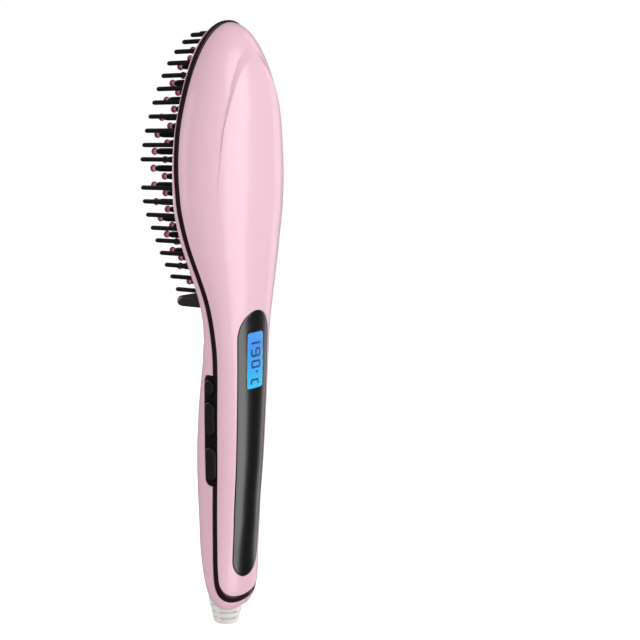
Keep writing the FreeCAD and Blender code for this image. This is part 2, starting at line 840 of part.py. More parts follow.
def make_frame_screws():
    screws = []
    for x, z in frame_screw_places:
        seat_y = crown_y(x, z) - frame_screw_head
        head = rod(frame_screw_head_radius, (x, seat_y, z), (x, seat_y + frame_screw_head, z))
        shank = rod(frame_screw_radius, (x, frame_back_y - 4.0, z), (x, seat_y + 0.2, z))
        slot = box((x - 1.1, seat_y + 0.6, z - 0.2), (x + 1.1, seat_y + 3, z + 0.2))
        screws.append(head.fuse(shank).cut(slot))
    return group(screws)


plate_screw_heights = (112.0, 150.0)
small_shank = 0.7
plate_screw_head_radius = 1.05
plate_screw_line = inside_rim(0.5 * (window_rim_gap + flange_rim_gap), flange_low_z)
plate_screw_places = [(side * oval_half_width(plate_screw_line, z), z)
                      for z in plate_screw_heights for side in (-1, 1)]
clamp_low_z = heater_low_z - 1.0 - clamp_foot
clamp_high_z = heater_low_z + heater_step * (heater_count - 1) + heater_length + 1.0 + clamp_foot
clamp_screw_places = [clamp_low_z + 4.0, clamp_high_z - 4.0]
film_back_y = flange_back_y - heater_thickness - film_thickness
clamp_back_y = film_back_y - clamp_thickness


def make_heater_plate():
    inside_window = head_oval(window_rim_gap + 0.2, window_low_z + 0.2)
    plate = slab(inside_window, frame_back_y - 0.1, reach).common(crown(plate_sink))
    plate = plate.fuse(slab(head_oval(flange_rim_gap, flange_low_z), flange_back_y, frame_back_y))
    tools = []
    for x, z in tine_places:
        seat_y = crown_y(x, z, plate_sink) - tine_seat
        tools.append(rod(tine_radius + thread_gap, (x, seat_y, z), (x, reach, z)))
    for x, z in plate_screw_places:
        tools.append(rod(small_shank + 0.15, (x, -10, z), (x, frame_back_y + 1, z)))
    for z in clamp_screw_places:
        high_y = flange_back_y + 2.6
        tools.append(rod(small_screw_radius + thread_gap, (0, flange_back_y - 1, z), (0, high_y, z)))
    return plate.cut(tools)


def tine_tip_y(z):
    return smooth(tip_stations, z) - tine_short


def tine_solid(x, z, grow=0.0):
    base_y = crown_y(x, z, plate_sink) - tine_seat
    tip_y = tine_tip_y(z)
    radius = tine_radius + grow
    profile = [(0, base_y), (radius, base_y), (radius, tip_y - tine_cone), (0.62 * radius, tip_y - 2.1),
               (0.2, tip_y - 1.0), (0, tip_y - 1.0)]
    return turned(profile, Vector(x, 0, z), along_y)


def make_heated_tines():
    return group([tine_solid(x, z) for x, z in tine_places])


def make_tine_tips():
    tips = []
    for x, z in tine_places:
        tip_y = tine_tip_y(z)
        ball = Part.makeSphere(tip_radius, Vector(x, tip_y - tip_radius, z))
        skirt = rod(tip_radius, (x, tip_y - tip_radius - tip_skirt, z), (x, tip_y - tip_radius, z))
        tips.append(ball.fuse(skirt).common(box((x - 5, tip_y - tip_radius - tip_skirt, z - 5),
                                                (x + 5, tip_y + 1, z + 5))).cut(tine_solid(x, z)))
    return group(tips)


# --- heater stack ---------------------------------------------------------------------
heater_places = [heater_low_z + heater_step * k for k in range(heater_count)]


def make_ptc_heaters():
    return group([box((-heater_half_width, flange_back_y - heater_thickness, z),
                      (heater_half_width, flange_back_y, z + heater_length)) for z in heater_places])


def make_heater_film():
    half = heater_half_width
    high_y, high_z = film_back_y + film_thickness, heater_places[-1] + heater_length
    return box((-half, film_back_y, heater_low_z), (half, high_y, high_z))


def make_heater_clamp():
    half = clamp_half_width
    bar_low_z, bar_high_z = clamp_low_z + clamp_foot, clamp_high_z - clamp_foot
    bar = box((-half, clamp_back_y, bar_low_z), (half, film_back_y, bar_high_z))
    pieces = []
    for low_z, high_z, riser_z in ((clamp_low_z, bar_low_z, bar_low_z - clamp_thickness),
                                   (bar_high_z, clamp_high_z, bar_high_z)):
        pieces.append(box((-half, flange_back_y - clamp_thickness, low_z), (half, flange_back_y, high_z)))
        pieces.append(box((-half, clamp_back_y, riser_z), (half, flange_back_y, riser_z + clamp_thickness)))
    clamp = bar.fuse(pieces).removeSplitter()
    for z in clamp_screw_places:
        clamp = clamp.cut(rod(small_screw_radius + 0.15, (0, -30, z), (0, 10, z)))
    return clamp


def make_heater_screws():
    screws = []
    seat_y = flange_back_y - clamp_thickness
    for z in clamp_screw_places:
        head = rod(small_screw_head_radius, (0, seat_y - small_screw_head, z), (0, seat_y, z))
        shank = rod(small_screw_radius, (0, seat_y - 0.2, z), (0, flange_back_y + 2.4, z))
        screws.append(head.fuse(shank))
    for x, z in plate_screw_places:
        head = rod(plate_screw_head_radius, (x, flange_back_y - 1.1, z), (x, flange_back_y, z))
        shank = rod(small_shank, (x, flange_back_y - 0.2, z), (x, frame_back_y + 2.4, z))
        screws.append(head.fuse(shank))
    return group(screws)


def make_heat_shield():
    half, high_y = shield_half_width, shield_back_y + shield_thickness
    sheet = box((-half, shield_back_y, clamp_low_z), (half, high_y, clamp_high_z))
    sheet = sheet.common(body_solid(wall + 2.6))
    hole_radius = shield_pin_radius + push_gap
    for side in (-1, 1):
        x = side * shield_post_x
        sheet = sheet.cut(rod(hole_radius, (x, -30, crown_centre_z), (x, 0, crown_centre_z)))
    return sheet


def make_thermistor():
    bead_y = flange_back_y - 1.1
    bead = rod(1.1, (13.5, bead_y, 112.0), (13.5, bead_y, 117.0))
    leads = [rod(0.35, (x, bead_y, 106.0), (x, bead_y, 112.5)) for x in (13.0, 14.0)]
    return bead.fuse(leads)


def make_thermal_fuse():
    axis_y = flange_back_y - 1.7
    can = rod(1.7, (-13.5, axis_y, 132.0), (-13.5, axis_y, 142.0))
    lead = rod(0.4, (-13.5, axis_y, 126.0), (-13.5, axis_y, 148.0))
    return can.fuse(lead)


def make_heater_wires():
    wire_y = board_front_y + 0.85
    return group([rod(0.85, (x, wire_y, 54.0), (x, wire_y, heater_low_z)) for x in (-7.7, 7.7)])


# --- cord swivel ----------------------------------------------------------------------
cord_centre = Vector(0, cord_y, 0)
flange_low = housing_low_z + housing_wall + running_gap
flange_high = flange_low + rotor_flange_thickness
rotor_low_z = relief_top_z - 4.5
rotor_high_z = housing_high_z - housing_roof


def make_strain_relief():
    shoulder_z = tail_end_z + 3.6
    profile = [(relief_bore_radius, relief_end_z), (relief_end_radius, relief_end_z),
               (relief_radius, shoulder_z), (relief_radius, relief_top_z), (rotor_radius, relief_top_z),
               (rotor_radius, rotor_low_z), (relief_bore_radius, rotor_low_z)]
    relief = turned(profile, cord_centre, along_z)
    taper = (relief_radius - relief_end_radius) / (shoulder_z - relief_end_z)
    slot_height = 1.0
    rib_half = 0.8
    slots = []
    for k in range(3):
        low_z = relief_end_z + 2.2 + 3.2 * k
        outside = relief_end_radius + taper * (low_z - relief_end_z)
        ring = rod(relief_radius + 2, (0, cord_y, low_z), (0, cord_y, low_z + slot_height))
        ring = ring.cut(rod(outside - 1.3, (0, cord_y, low_z), (0, cord_y, low_z + slot_height)))
        ring = ring.cut(box((-rib_half, cord_y - 20, low_z), (rib_half, cord_y + 20, low_z + slot_height)))
        ring = ring.cut(box((-20, cord_y - rib_half, low_z), (20, cord_y + rib_half, low_z + slot_height)))
        slots.append(ring)
    return relief.cut(slots)


def make_swivel_rotor():
    bore = 1.8
    profile = [(bore, rotor_low_z), (rotor_radius, rotor_low_z), (rotor_radius, flange_low),
               (rotor_flange_radius, flange_low), (rotor_flange_radius, flange_high),
               (rotor_core_radius, flange_high), (rotor_core_radius, rotor_high_z),
               (pivot_radius, rotor_high_z), (pivot_radius, housing_high_z), (0, housing_high_z),
               (0, rotor_high_z - 1.5), (bore, rotor_high_z - 1.5)]
    return turned(profile, cord_centre, along_z)


ring_places = [ring_low_z + ring_step * k for k in range(2)]


def make_slip_rings():
    rings = []
    for z in ring_places:
        high_z = z + ring_height
        outside = rod(rotor_core_radius + ring_thickness, (0, cord_y, z), (0, cord_y, high_z))
        rings.append(outside.cut(rod(rotor_core_radius, (0, cord_y, z - 1), (0, cord_y, high_z + 1))))
    return group(rings)


def contact_finger(side, z):
    touch_x = rotor_core_radius + ring_thickness + running_gap
    far_x = housing_radius + 1.4
    low_x, high_x = (touch_x, far_x) if side > 0 else (-far_x, -touch_x)
    middle_z = z + ring_height / 2
    return box((low_x, cord_y - 1.5, middle_z - 0.4), (high_x, cord_y + 1.5, middle_z + 0.4))


def make_contact_springs():
    return group([contact_finger(side, z) for side, z in zip((-1, 1), ring_places)])


def make_swivel_housing():
    cavity_radius = housing_radius - housing_wall
    mouth_radius, pivot_bore = rotor_radius + running_gap, pivot_radius + running_gap
    cavity_low, cavity_high = flange_low - running_gap, rotor_high_z + running_gap
    profile = [(mouth_radius, housing_low_z), (housing_radius, housing_low_z),
               (housing_radius, housing_high_z), (pivot_bore, housing_high_z),
               (pivot_bore, cavity_high), (cavity_radius, cavity_high),
               (cavity_radius, cavity_low), (mouth_radius, cavity_low)]
    housing = turned(profile, cord_centre, along_z)
    return housing.cut([contact_finger(side, z) for side, z in zip((-1, 1), ring_places)])


def make_supply_wires():
    wires = []
    for side, z in zip((-1, 1), ring_places):
        start = (side * 9.2, cord_y + 0.2, z + ring_height / 2 + 0.4)
        wires.append(rod(0.8, start, (side * 9.2, board_front_y + 0.75, board_low_z + 2.5)))
    return group([wire.cut(contact_finger(side, z)) for wire, side, z in zip(wires, (-1, 1), ring_places)])


def make_shell_screws():
    screws = []
    for x, z, head_y, joint_y in shell_screw_places:
        head = rod(shell_screw_head_radius, (x, head_y, z), (x, head_y + shell_screw_head, z))
        shank = rod(shell_screw_radius, (x, screw_tip_y(joint_y), z), (x, head_y + 0.2, z))
        cross = box((x - 1.3, head_y + 0.8, z - 0.3), (x + 1.3, head_y + 3, z + 0.3))
        cross = cross.fuse(box((x - 0.3, head_y + 0.8, z - 1.3), (x + 0.3, head_y + 3, z + 1.3)))
        screws.append(head.fuse(shank).cut(cross))
    return group(screws)


makers = {
    "back_shell": make_back_shell,
    "front_shell": make_front_shell,
    "trim_band": make_trim_band,
    "button_bezel": make_button_bezel,
    "power_button": lambda: make_button("power_button"),
    "plus_button": lambda: make_button("plus_button"),
    "minus_button": lambda: make_button("minus_button"),
    "tact_switches": make_tact_switches,
    "button_board": make_button_board,
    "back_panel": make_back_panel,
    "display_window": make_display_window,
    "lcd_glass": make_lcd_glass,
    "lcd_backlight": make_lcd_backlight,
    "lcd_frame": make_lcd_frame,
    "control_board": make_control_board,
    "board_screws": make_board_screws,
    "film_capacitor": make_film_capacitor,
    "smoothing_capacitor": make_smoothing_capacitor,
    "triac": make_triac,
    "controller_chip": make_controller_chip,
    "board_fuse": make_board_fuse,
    "bristle_frame": make_bristle_frame,
    "finger_guard": make_finger_guard,
    "guard_bristles": make_guard_bristles,
    "frame_screws": make_frame_screws,
    "heater_plate": make_heater_plate,
    "heated_tines": make_heated_tines,
    "tine_tips": make_tine_tips,
    "ptc_heaters": make_ptc_heaters,
    "heater_film": make_heater_film,
    "heater_clamp": make_heater_clamp,
    "heater_screws": make_heater_screws,
    "heat_shield": make_heat_shield,
    "thermistor": make_thermistor,
    "thermal_fuse": make_thermal_fuse,
    "heater_wires": make_heater_wires,
    "strain_relief": make_strain_relief,
    "swivel_rotor": make_swivel_rotor,
    "slip_rings": make_slip_rings,
    "swivel_housing": make_swivel_housing,
    "contact_springs": make_contact_springs,
    "supply_wires": make_supply_wires,
    "shell_screws": make_shell_screws,
}

os.makedirs("parts", exist_ok=True)
for node, maker in makers.items():
    shape = maker()
    solids = shape.Solids
    valid = all(solid.isValid() and solid.isClosed() for solid in solids)
    print(f"{node}: {len(solids)} solids, {sum(solid.Volume for solid in solids):.1f} mm3, valid {valid}")
    shape.exportStep(f"parts/{node}.step")
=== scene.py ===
import math

import bmesh
import bpy
import numpy as np
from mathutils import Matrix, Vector


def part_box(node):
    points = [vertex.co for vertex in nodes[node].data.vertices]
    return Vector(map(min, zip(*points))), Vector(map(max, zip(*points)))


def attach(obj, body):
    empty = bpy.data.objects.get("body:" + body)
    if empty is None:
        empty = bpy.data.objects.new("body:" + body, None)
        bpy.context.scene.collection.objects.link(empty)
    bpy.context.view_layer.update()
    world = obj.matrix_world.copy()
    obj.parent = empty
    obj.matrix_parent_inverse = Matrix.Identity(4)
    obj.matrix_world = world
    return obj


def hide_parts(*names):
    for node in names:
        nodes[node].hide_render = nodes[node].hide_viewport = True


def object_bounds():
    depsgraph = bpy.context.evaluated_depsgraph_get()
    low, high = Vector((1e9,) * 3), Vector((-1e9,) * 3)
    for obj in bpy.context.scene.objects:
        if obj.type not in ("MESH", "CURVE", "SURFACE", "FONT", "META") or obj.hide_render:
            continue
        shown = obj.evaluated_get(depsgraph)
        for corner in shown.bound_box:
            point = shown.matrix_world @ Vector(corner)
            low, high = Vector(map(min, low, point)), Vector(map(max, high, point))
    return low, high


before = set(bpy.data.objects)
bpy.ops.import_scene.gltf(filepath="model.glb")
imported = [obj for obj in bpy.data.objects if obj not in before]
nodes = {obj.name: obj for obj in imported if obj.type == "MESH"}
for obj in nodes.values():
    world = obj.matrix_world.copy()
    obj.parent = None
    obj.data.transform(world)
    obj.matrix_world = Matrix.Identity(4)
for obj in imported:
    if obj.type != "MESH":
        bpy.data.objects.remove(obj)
cadBox = [list(corner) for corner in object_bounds()]
mm = 0.001
print("frame loaded:", len(nodes), "nodes")

# The form of the brush, in millimetres: half widths and depths at heights along the brush.
bodyShape = {
    "headTop": 202.2, "headWide": 136.8, "tailEnd": -68.1,
    "headHalf": 35.8, "neckHalf": 20.9, "gripHalf": 17.5, "tailHalf": 16.0,
    "dome": 20.8, "backPower": 2.15, "gripPower": 2.1, "mouthPower": 2.6,
    "squareFrom": 50.0, "squareRun": 40.0,
}
# How each end closes: bulge and power of its rounding.
endRounds = {"headWidth": (1.85, 2.0), "headDepth": (2.0, 2.0), "tail": (3.3, 2.5), "tailFront": (2.2, 2.0)}
headTop, headWide, tailEnd = bodyShape["headTop"], bodyShape["headWide"], bodyShape["tailEnd"]
neckHalf, gripHalf, tailHalf = bodyShape["neckHalf"], bodyShape["gripHalf"], bodyShape["tailHalf"]
shoulder = bodyShape["headHalf"] - neckHalf
dome = bodyShape["dome"]
tailRound = tailEnd + 18.1
frontRound = tailEnd + 38.1
domeRound = headWide + 14.2

widthStations = [
    (tailEnd, tailHalf), (tailRound, tailHalf), (-23.7, 0.88 * tailHalf + 0.12 * gripHalf),
    (13.0, gripHalf), (52.9, 0.5 * (gripHalf + neckHalf)), (67.0, neckHalf),
    (78.4, neckHalf + 0.16 * shoulder), (89.4, neckHalf + 0.39 * shoulder),
    (100.3, neckHalf + 0.63 * shoulder), (111.3, neckHalf + 0.82 * shoulder),
    (122.2, neckHalf + 0.955 * shoulder), (headWide, neckHalf + shoulder), (headTop, neckHalf + shoulder),
]
seamStations = [
    (tailEnd, -4.0), (-23.7, -4.0), (5.5, -4.9), (27.4, -5.5), (52.9, -6.3), (73.0, -5.4),
    (84.0, -4.1), (96.0, -2.0), (106.0, -0.2), (118.0, 1.1), (137.0, 2.0), (151.0, 2.1),
    (170.0, 1.3), (191.0, 0.3), (headTop, -1.0), (headTop + 8.0, -2.2),
]
backStations = [
    (tailEnd, 6.2), (-45.6, 7.0), (-23.7, 8.6), (5.5, 9.6), (27.4, 9.8), (52.9, 9.4),
    (67.5, 0.48 * dome), (74.8, 0.53 * dome), (89.4, 0.665 * dome), (104.0, 0.82 * dome),
    (118.0, 0.94 * dome), (137.0, dome), (headTop, dome),
]
frontStations = [
    (tailEnd, 15.6), (frontRound, 16.3), (5.5, 18.4), (27.4, 17.4), (52.9, 14.2), (69.0, 10.7),
    (84.0, 9.9), (96.0, 9.5), (118.0, 9.1), (137.0, 8.3), (160.0, 8.6), (180.0, 10.4), (headTop, 13.0),
]
rimStations = [
    (60.0, 14.0), (67.2, 12.0), (69.0, 3.6), (71.0, 1.9), (74.0, 1.4), (84.0, 2.5), (96.0, 3.6),
    (106.0, 4.7), (118.0, 5.1), (131.0, 4.6), (151.0, 3.9), (170.0, 3.0), (191.5, 2.3),
    (headTop, 0.5), (headTop + 8.0, -0.5),
]


def curveThrough(stations):
    # A smooth curve through the stations, flat beyond both ends.
    z = np.array([station[0] for station in stations])
    y = np.array([station[1] for station in stations])
    run = np.diff(z)
    secant = np.diff(y) / run
    product = secant[:-1] * secant[1:]
    total = np.where(product > 0, secant[:-1] + secant[1:], 1.0)
    slope = np.concatenate([[0.0], np.where(product > 0, 2 * product / total, 0.0), [0.0]])

    def at(height):
        height = np.clip(height, z[0], z[-1])
        k = np.clip(np.searchsorted(z, height, side="right") - 1, 0, len(run) - 1)
        t = (height - z[k]) / run[k]
        blend = t * t * (3 - 2 * t)
        bend = slope[k] * t * (1 - t) ** 2 - slope[k + 1] * t * t * (1 - t)
        return y[k] * (1 - blend) + y[k + 1] * blend + run[k] * bend

    return at


widthAt, seamAt = curveThrough(widthStations), curveThrough(seamStations)
backAt, frontAt, rimAt = curveThrough(backStations), curveThrough(frontStations), curveThrough(rimStations)


def rounding(z, start, end, bulge, power):
    u = np.clip((z - start) / (end - start), 0.0, 1.0)
    return np.maximum(1.0 - u ** bulge, 0.0) ** (1.0 / power)


def frontPowerAt(z):
    # The front's section grows squarer from the handle to the mouth.
    share = np.clip((z - bodyShape["squareFrom"]) / bodyShape["squareRun"], 0.0, 1.0)
    return bodyShape["gripPower"] + (bodyShape["mouthPower"] - bodyShape["gripPower"]) * share


def skinPoint(turn, rise):
    # turn goes once round a section from +X, rise goes from the tail to the top of the head.
    middle, half = 0.5 * (headTop + tailEnd), 0.5 * (headTop - tailEnd)
    z = middle - half * np.cos(np.pi * rise)
    across, deep = np.cos(2 * np.pi * turn), np.sin(2 * np.pi * turn)
    tail = rounding(z, tailRound, tailEnd, *endRounds["tail"])
    width = widthAt(z) * rounding(z, headWide, headTop, *endRounds["headWidth"]) * tail
    backDepth = backAt(z) * tail
    frontDepth = frontAt(z) * rounding(z, frontRound, tailEnd, *endRounds["tailFront"])
    depth = np.where(deep < 0, backDepth, frontDepth)
    depth = depth * rounding(z, domeRound, headTop, *endRounds["headDepth"])
    power = 2.0 / np.where(deep < 0, bodyShape["backPower"], frontPowerAt(z))
    x = width * np.sign(across) * np.abs(across) ** power
    y = seamAt(z) + depth * np.sign(deep) * np.abs(deep) ** power
    return np.stack([x, y, z], axis=-1)


def skinNormal(turn, rise):
    step = 2e-4
    around = skinPoint(turn + step, rise) - skinPoint(turn - step, rise)
    upward = skinPoint(turn, np.minimum(rise + step, 1.0)) - skinPoint(turn, np.maximum(rise - step, 0.0))
    normal = np.cross(around, upward)
    length = np.linalg.norm(normal, axis=-1, keepdims=True)
    pole = np.stack([0 * rise, 0 * rise, np.where(rise > 0.5, 1.0, -1.0)], axis=-1)
    return np.where(length > 1e-9, normal / np.maximum(length, 1e-9), pole)


# Where one piece of the skin ends and the next begins. Each field is a distance in millimetres,
# positive inside the piece that it belongs to.
parting = {
    "trim": 2.5, "gap": 0.07,
    "panelTop": 74.0, "panelLow": -51.3, "panelTopRadius": 12.2, "panelLowRadius": 10.0,
    "displayHeight": 51.2, "displayHalfWidth": 6.25, "displayHalfHeight": 12.8, "displayCorner": 1.2,
    "padLow": -6.0, "padHigh": 45.5, "padFront": 1.2, "padCorner": 3.2,
    "buttonY": -2.65, "buttonHalf": 2.95, "buttonGap": 0.15,
    "cordY": 1.0, "outletRadius": 8.55, "outletTop": -52.5,
}
buttonPlaces = {"power_button": (39.9, 3.7), "plus_button": (25.5, 7.8), "minus_button": (4.5, 7.8)}
screwPlaces = [(0.0, -26.0, 4.0), (-14.2, 61.0, -2.2), (14.2, 61.0, -2.2)]
screwHoleRadius = 2.55

seamHeights = np.arange(headTop + 8.0, -36.0, -1.5)
seamPath = [(float(seamAt(z)), float(z)) for z in seamHeights]
seamTail = [(-4.1, 24.0), (-4.7, 16.2), (-6.2, 11.6), (-8.3, 7.8), (-10.8, 4.8), (-15.0, 1.6), (-21.0, -1.0)]


def roundedRun(points, count):
    # A smooth run through the points, each stretch cut into count steps.
    points = [np.array(point, float) for point in points]
    ends = [2 * points[0] - points[1]] + points + [2 * points[-1] - points[-2]]
    run = []
    for a, b, c, d in zip(ends, ends[1:], ends[2:], ends[3:]):
        for k in range(count):
            t = k / count
            run.append(0.5 * (2 * b + (c - a) * t + (2 * a - 5 * b + 4 * c - d) * t * t
                              + (3 * b - a - 3 * c + d) * t ** 3))
    return run + [points[-1]]


seamPath += [tuple(point) for point in roundedRun(
    [seamPath[-1]] + [(y, tailEnd + z) for y, z in seamTail], 10)][1:]
seamPath = np.array(seamPath)


def behindSeam(points):
    # How far a point lies behind the seam between the shells, seen from the side.
    flat = points[:, 1:3]
    start, run = seamPath[:-1], np.diff(seamPath, axis=0)
    best = np.full(len(flat), 1e9)
    signed = np.zeros(len(flat))
    for a, d in zip(start, run):
        q = flat - a
        t = np.clip((q @ d) / (d @ d), 0.0, 1.0)
        distance = np.hypot(q[:, 0] - t * d[0], q[:, 1] - t * d[1])
        side = d[1] * q[:, 0] - d[0] * q[:, 1]
        near = distance < best
        best = np.where(near, distance, best)
        signed = np.where(near, np.where(side > 0, distance, -distance), signed)
    return signed


def insideMouthRim(points):
    z = points[:, 2]
    slope = (rimAt(z + 0.05) - rimAt(z - 0.05)) / 0.1
    below = np.maximum(60.0 - z, 0.0)
    return (rimAt(z) + below - points[:, 1]) / np.sqrt(1 + slope ** 2)


def roundBox(across, up, halfWidth, halfHeight, corner):
    dx, dz = np.abs(across) - halfWidth + corner, np.abs(up) - halfHeight + corner
    outside = np.hypot(np.maximum(dx, 0), np.maximum(dz, 0))
    return corner - outside - np.minimum(np.maximum(dx, dz), 0)


def insidePanel(points):
    x, z = np.abs(points[:, 0]), points[:, 2]
    topRadius, lowRadius = parting["panelTopRadius"], parting["panelLowRadius"]
    high, low = parting["panelTop"] - topRadius, parting["panelLow"] + lowRadius
    lean = (lowRadius - topRadius) / (high - low)
    level = math.sqrt(1 - lean * lean)
    along = -lean * x + level * (z - low)
    side = level * x + lean * (z - low) - lowRadius
    lowEnd = np.hypot(x, z - low) - lowRadius
    topEnd = np.hypot(x, z - high) - topRadius
    return -np.where(along < 0, lowEnd, np.where(along > level * (high - low), topEnd, side))


def insideDisplay(points):
    return roundBox(points[:, 0], points[:, 2] - parting["displayHeight"],
                    parting["displayHalfWidth"], parting["displayHalfHeight"], parting["displayCorner"])


def insidePad(points):
    # The pad is a rounded block at the button side whose back edge runs along the trim.
    far = 40.0
    low, high = parting["padLow"], parting["padHigh"]
    block = roundBox(points[:, 1] - parting["padFront"] + far, points[:, 2] - 0.5 * (low + high),
                     far, 0.5 * (high - low), parting["padCorner"])
    field = np.minimum(block, 0.5 * parting["trim"] - behindSeam(points))
    return np.where(points[:, 0] < 0, field, -5.0)


def insideButton(points, name, halfWidth=parting["buttonHalf"]):
    height, halfLength = buttonPlaces[name]
    straight = halfLength - parting["buttonHalf"]
    up = np.maximum(np.abs(points[:, 2] - height) - straight, 0.0)
    field = halfWidth - np.hypot(points[:, 1] - parting["buttonY"], up)
    return np.where(points[:, 0] < 0, field, -5.0)


def outsideButtons(points):
    opening = parting["buttonHalf"] + parting["buttonGap"]
    return -np.max([insideButton(points, name, opening) for name in buttonPlaces], axis=0)


def outsideOutlet(points):
    away = np.hypot(points[:, 0], points[:, 1] - parting["cordY"]) - parting["outletRadius"]
    return np.maximum(away, points[:, 2] - parting["outletTop"])


def outsideScrewHoles(points):
    holes = [np.hypot(points[:, 0] - x, points[:, 2] - z) - screwHoleRadius for x, z, _ in screwPlaces]
    return np.where(points[:, 1] > 0, np.min(holes, axis=0), 5.0)


# The dome of the head carries a raised island whose top edge is a crescent facet.
headIsland = {"centre": 125.0, "outerHalf": 25.4, "outerRise": 65.0, "innerHalf": 25.9, "innerRise": 59.4,
              "facet": 0.95, "recover": 17.0, "ledge": 0.2, "fadeLow": 104.0, "fadeHigh": 150.0}


def islandEdge(points, half, rise):
    # How far inside the island's edge a point lies. Below the centre it has no edge.
    up = points[:, 2] - headIsland["centre"]
    reach = np.hypot(points[:, 0] / half, up / rise)
    return np.where(up > 0, (1.0 - reach) * half, headIsland["recover"])


def outerIsland(points):
    return islandEdge(points, headIsland["outerHalf"], headIsland["outerRise"])


def innerIsland(points):
    return islandEdge(points, headIsland["innerHalf"], headIsland["innerRise"])


def islandLift(points):
    # The dome drops past the island's edge and comes back to its own surface further out.
    shape = headIsland
    up = np.maximum(points[:, 2] - shape["centre"], 0.0)
    x = np.abs(points[:, 0])
    outer = np.hypot(x / shape["outerHalf"], up / shape["outerRise"])
    inner = np.hypot(x / shape["innerHalf"], up / shape["innerRise"])
    tall = np.clip(up / shape["innerRise"], 0.0, 1.0)
    share = np.clip((inner - 1.0) / np.maximum(inner - outer, 1e-6), 0.0, 1.0)
    share = np.where(inner <= 1.0, 0.0, np.where(outer >= 1.0, 1.0, share))
    away = np.maximum(outer - 1.0, 0.0) * shape["outerHalf"]
    back = np.clip(1.0 - away / shape["recover"], 0.0, 1.0)
    fade = np.clip((points[:, 2] - shape["fadeLow"]) / (shape["fadeHigh"] - shape["fadeLow"]), 0.0, 1.0)
    fade = fade * fade * (3 - 2 * fade)
    depth = shape["facet"] * tall ** 1.5 + shape["ledge"]
    return -depth * fade * share * back * back * (3 - 2 * back)


def makeMesh(name, points, faces, material, sharpAngle=52.0):
    mesh = bpy.data.meshes.new(name)
    mesh.from_pydata([tuple(point) for point in np.asarray(points) * mm], [], faces)
    mesh.validate()
    mesh.materials.append(material)
    mesh.polygons.foreach_set("use_smooth", [True] * len(mesh.polygons))
    mesh.set_sharp_from_angle(angle=math.radians(sharpAngle))
    piece = bpy.data.objects.new(name, mesh)
    bpy.context.scene.collection.objects.link(piece)
    return piece


skinGrid = {"turns": 208, "rises": 300, "cutRounds": 4, "filletSteps": (0.13, 0.42, 1.0), "weldsPerMm": 2000}


class Skin:
    # Polygons on the body's surface, kept by their turn and rise so that every cut stays on it.
    def __init__(self, fields, gap):
        turns, rises = skinGrid["turns"], skinGrid["rises"]
        turn, rise = np.meshgrid(np.arange(turns + 1) / turns, np.arange(rises + 1) / rises)
        self.at = np.stack([turn.ravel(), rise.ravel()], axis=1)
        corner = (np.arange(rises)[:, None] * (turns + 1) + np.arange(turns)[None, :]).ravel()
        quads = np.stack([corner, corner + 1, corner + turns + 2, corner + turns + 1], axis=1)
        points = skinPoint(self.at[:, 0], self.at[:, 1])
        for field in fields:
            quads = quads[field(points)[quads].max(axis=1) > gap]
        used, quads = np.unique(quads, return_inverse=True)
        self.at = self.at[used]
        self.faces = quads.reshape(-1, 4).tolist()

    def points(self):
        return skinPoint(self.at[:, 0], self.at[:, 1])

    def cut(self, field, level, trim):
        # Splits the faces where the field crosses the level. With trim, the side below it goes.
        values = field(self.points()) - level
        values[np.abs(values) < 1e-6] = 0.0
        mixed, kept = [], []
        for face in self.faces:
            heights = [values[k] for k in face]
            if min(heights) < 0 < max(heights):
                mixed.append(face)
            elif not trim or max(heights) > 0:
                kept.append(face)
        edges = {}
        for face in mixed:
            for a, b in zip(face, face[1:] + face[:1]):
                if values[a] * values[b] < 0:
                    edges.setdefault((min(a, b), max(a, b)), len(edges))
        if edges:
            pairs = np.array(list(edges))
            low, high = self.at[pairs[:, 0]].copy(), self.at[pairs[:, 1]].copy()
            lowValue, highValue = values[pairs[:, 0]], values[pairs[:, 1]]
            for _ in range(skinGrid["cutRounds"]):
                share = np.clip(lowValue / (lowValue - highValue), 0.02, 0.98)[:, None]
                between = low + share * (high - low)
                value = field(skinPoint(between[:, 0], between[:, 1])) - level
                same = value * lowValue > 0
                low = np.where(same[:, None], between, low)
                lowValue = np.where(same, value, lowValue)
                high = np.where(same[:, None], high, between)
                highValue = np.where(same, highValue, value)
            nearer = np.abs(lowValue) < np.abs(highValue)
            between = np.where(nearer[:, None], low, high)
            first = len(self.at)
            self.at = np.concatenate([self.at, between])
            for face in mixed:
                inside, outside = [], []
                for a, b in zip(face, face[1:] + face[:1]):
                    if values[a] >= 0:
                        inside.append(a)
                    if values[a] <= 0:
                        outside.append(a)
                    if values[a] * values[b] < 0:
                        new = first + edges[min(a, b), max(a, b)]
                        inside.append(new)
                        outside.append(new)
                kept.append(inside)
                if not trim:
                    kept.append(outside)
        self.faces = [face for face in kept if len(face) > 2]


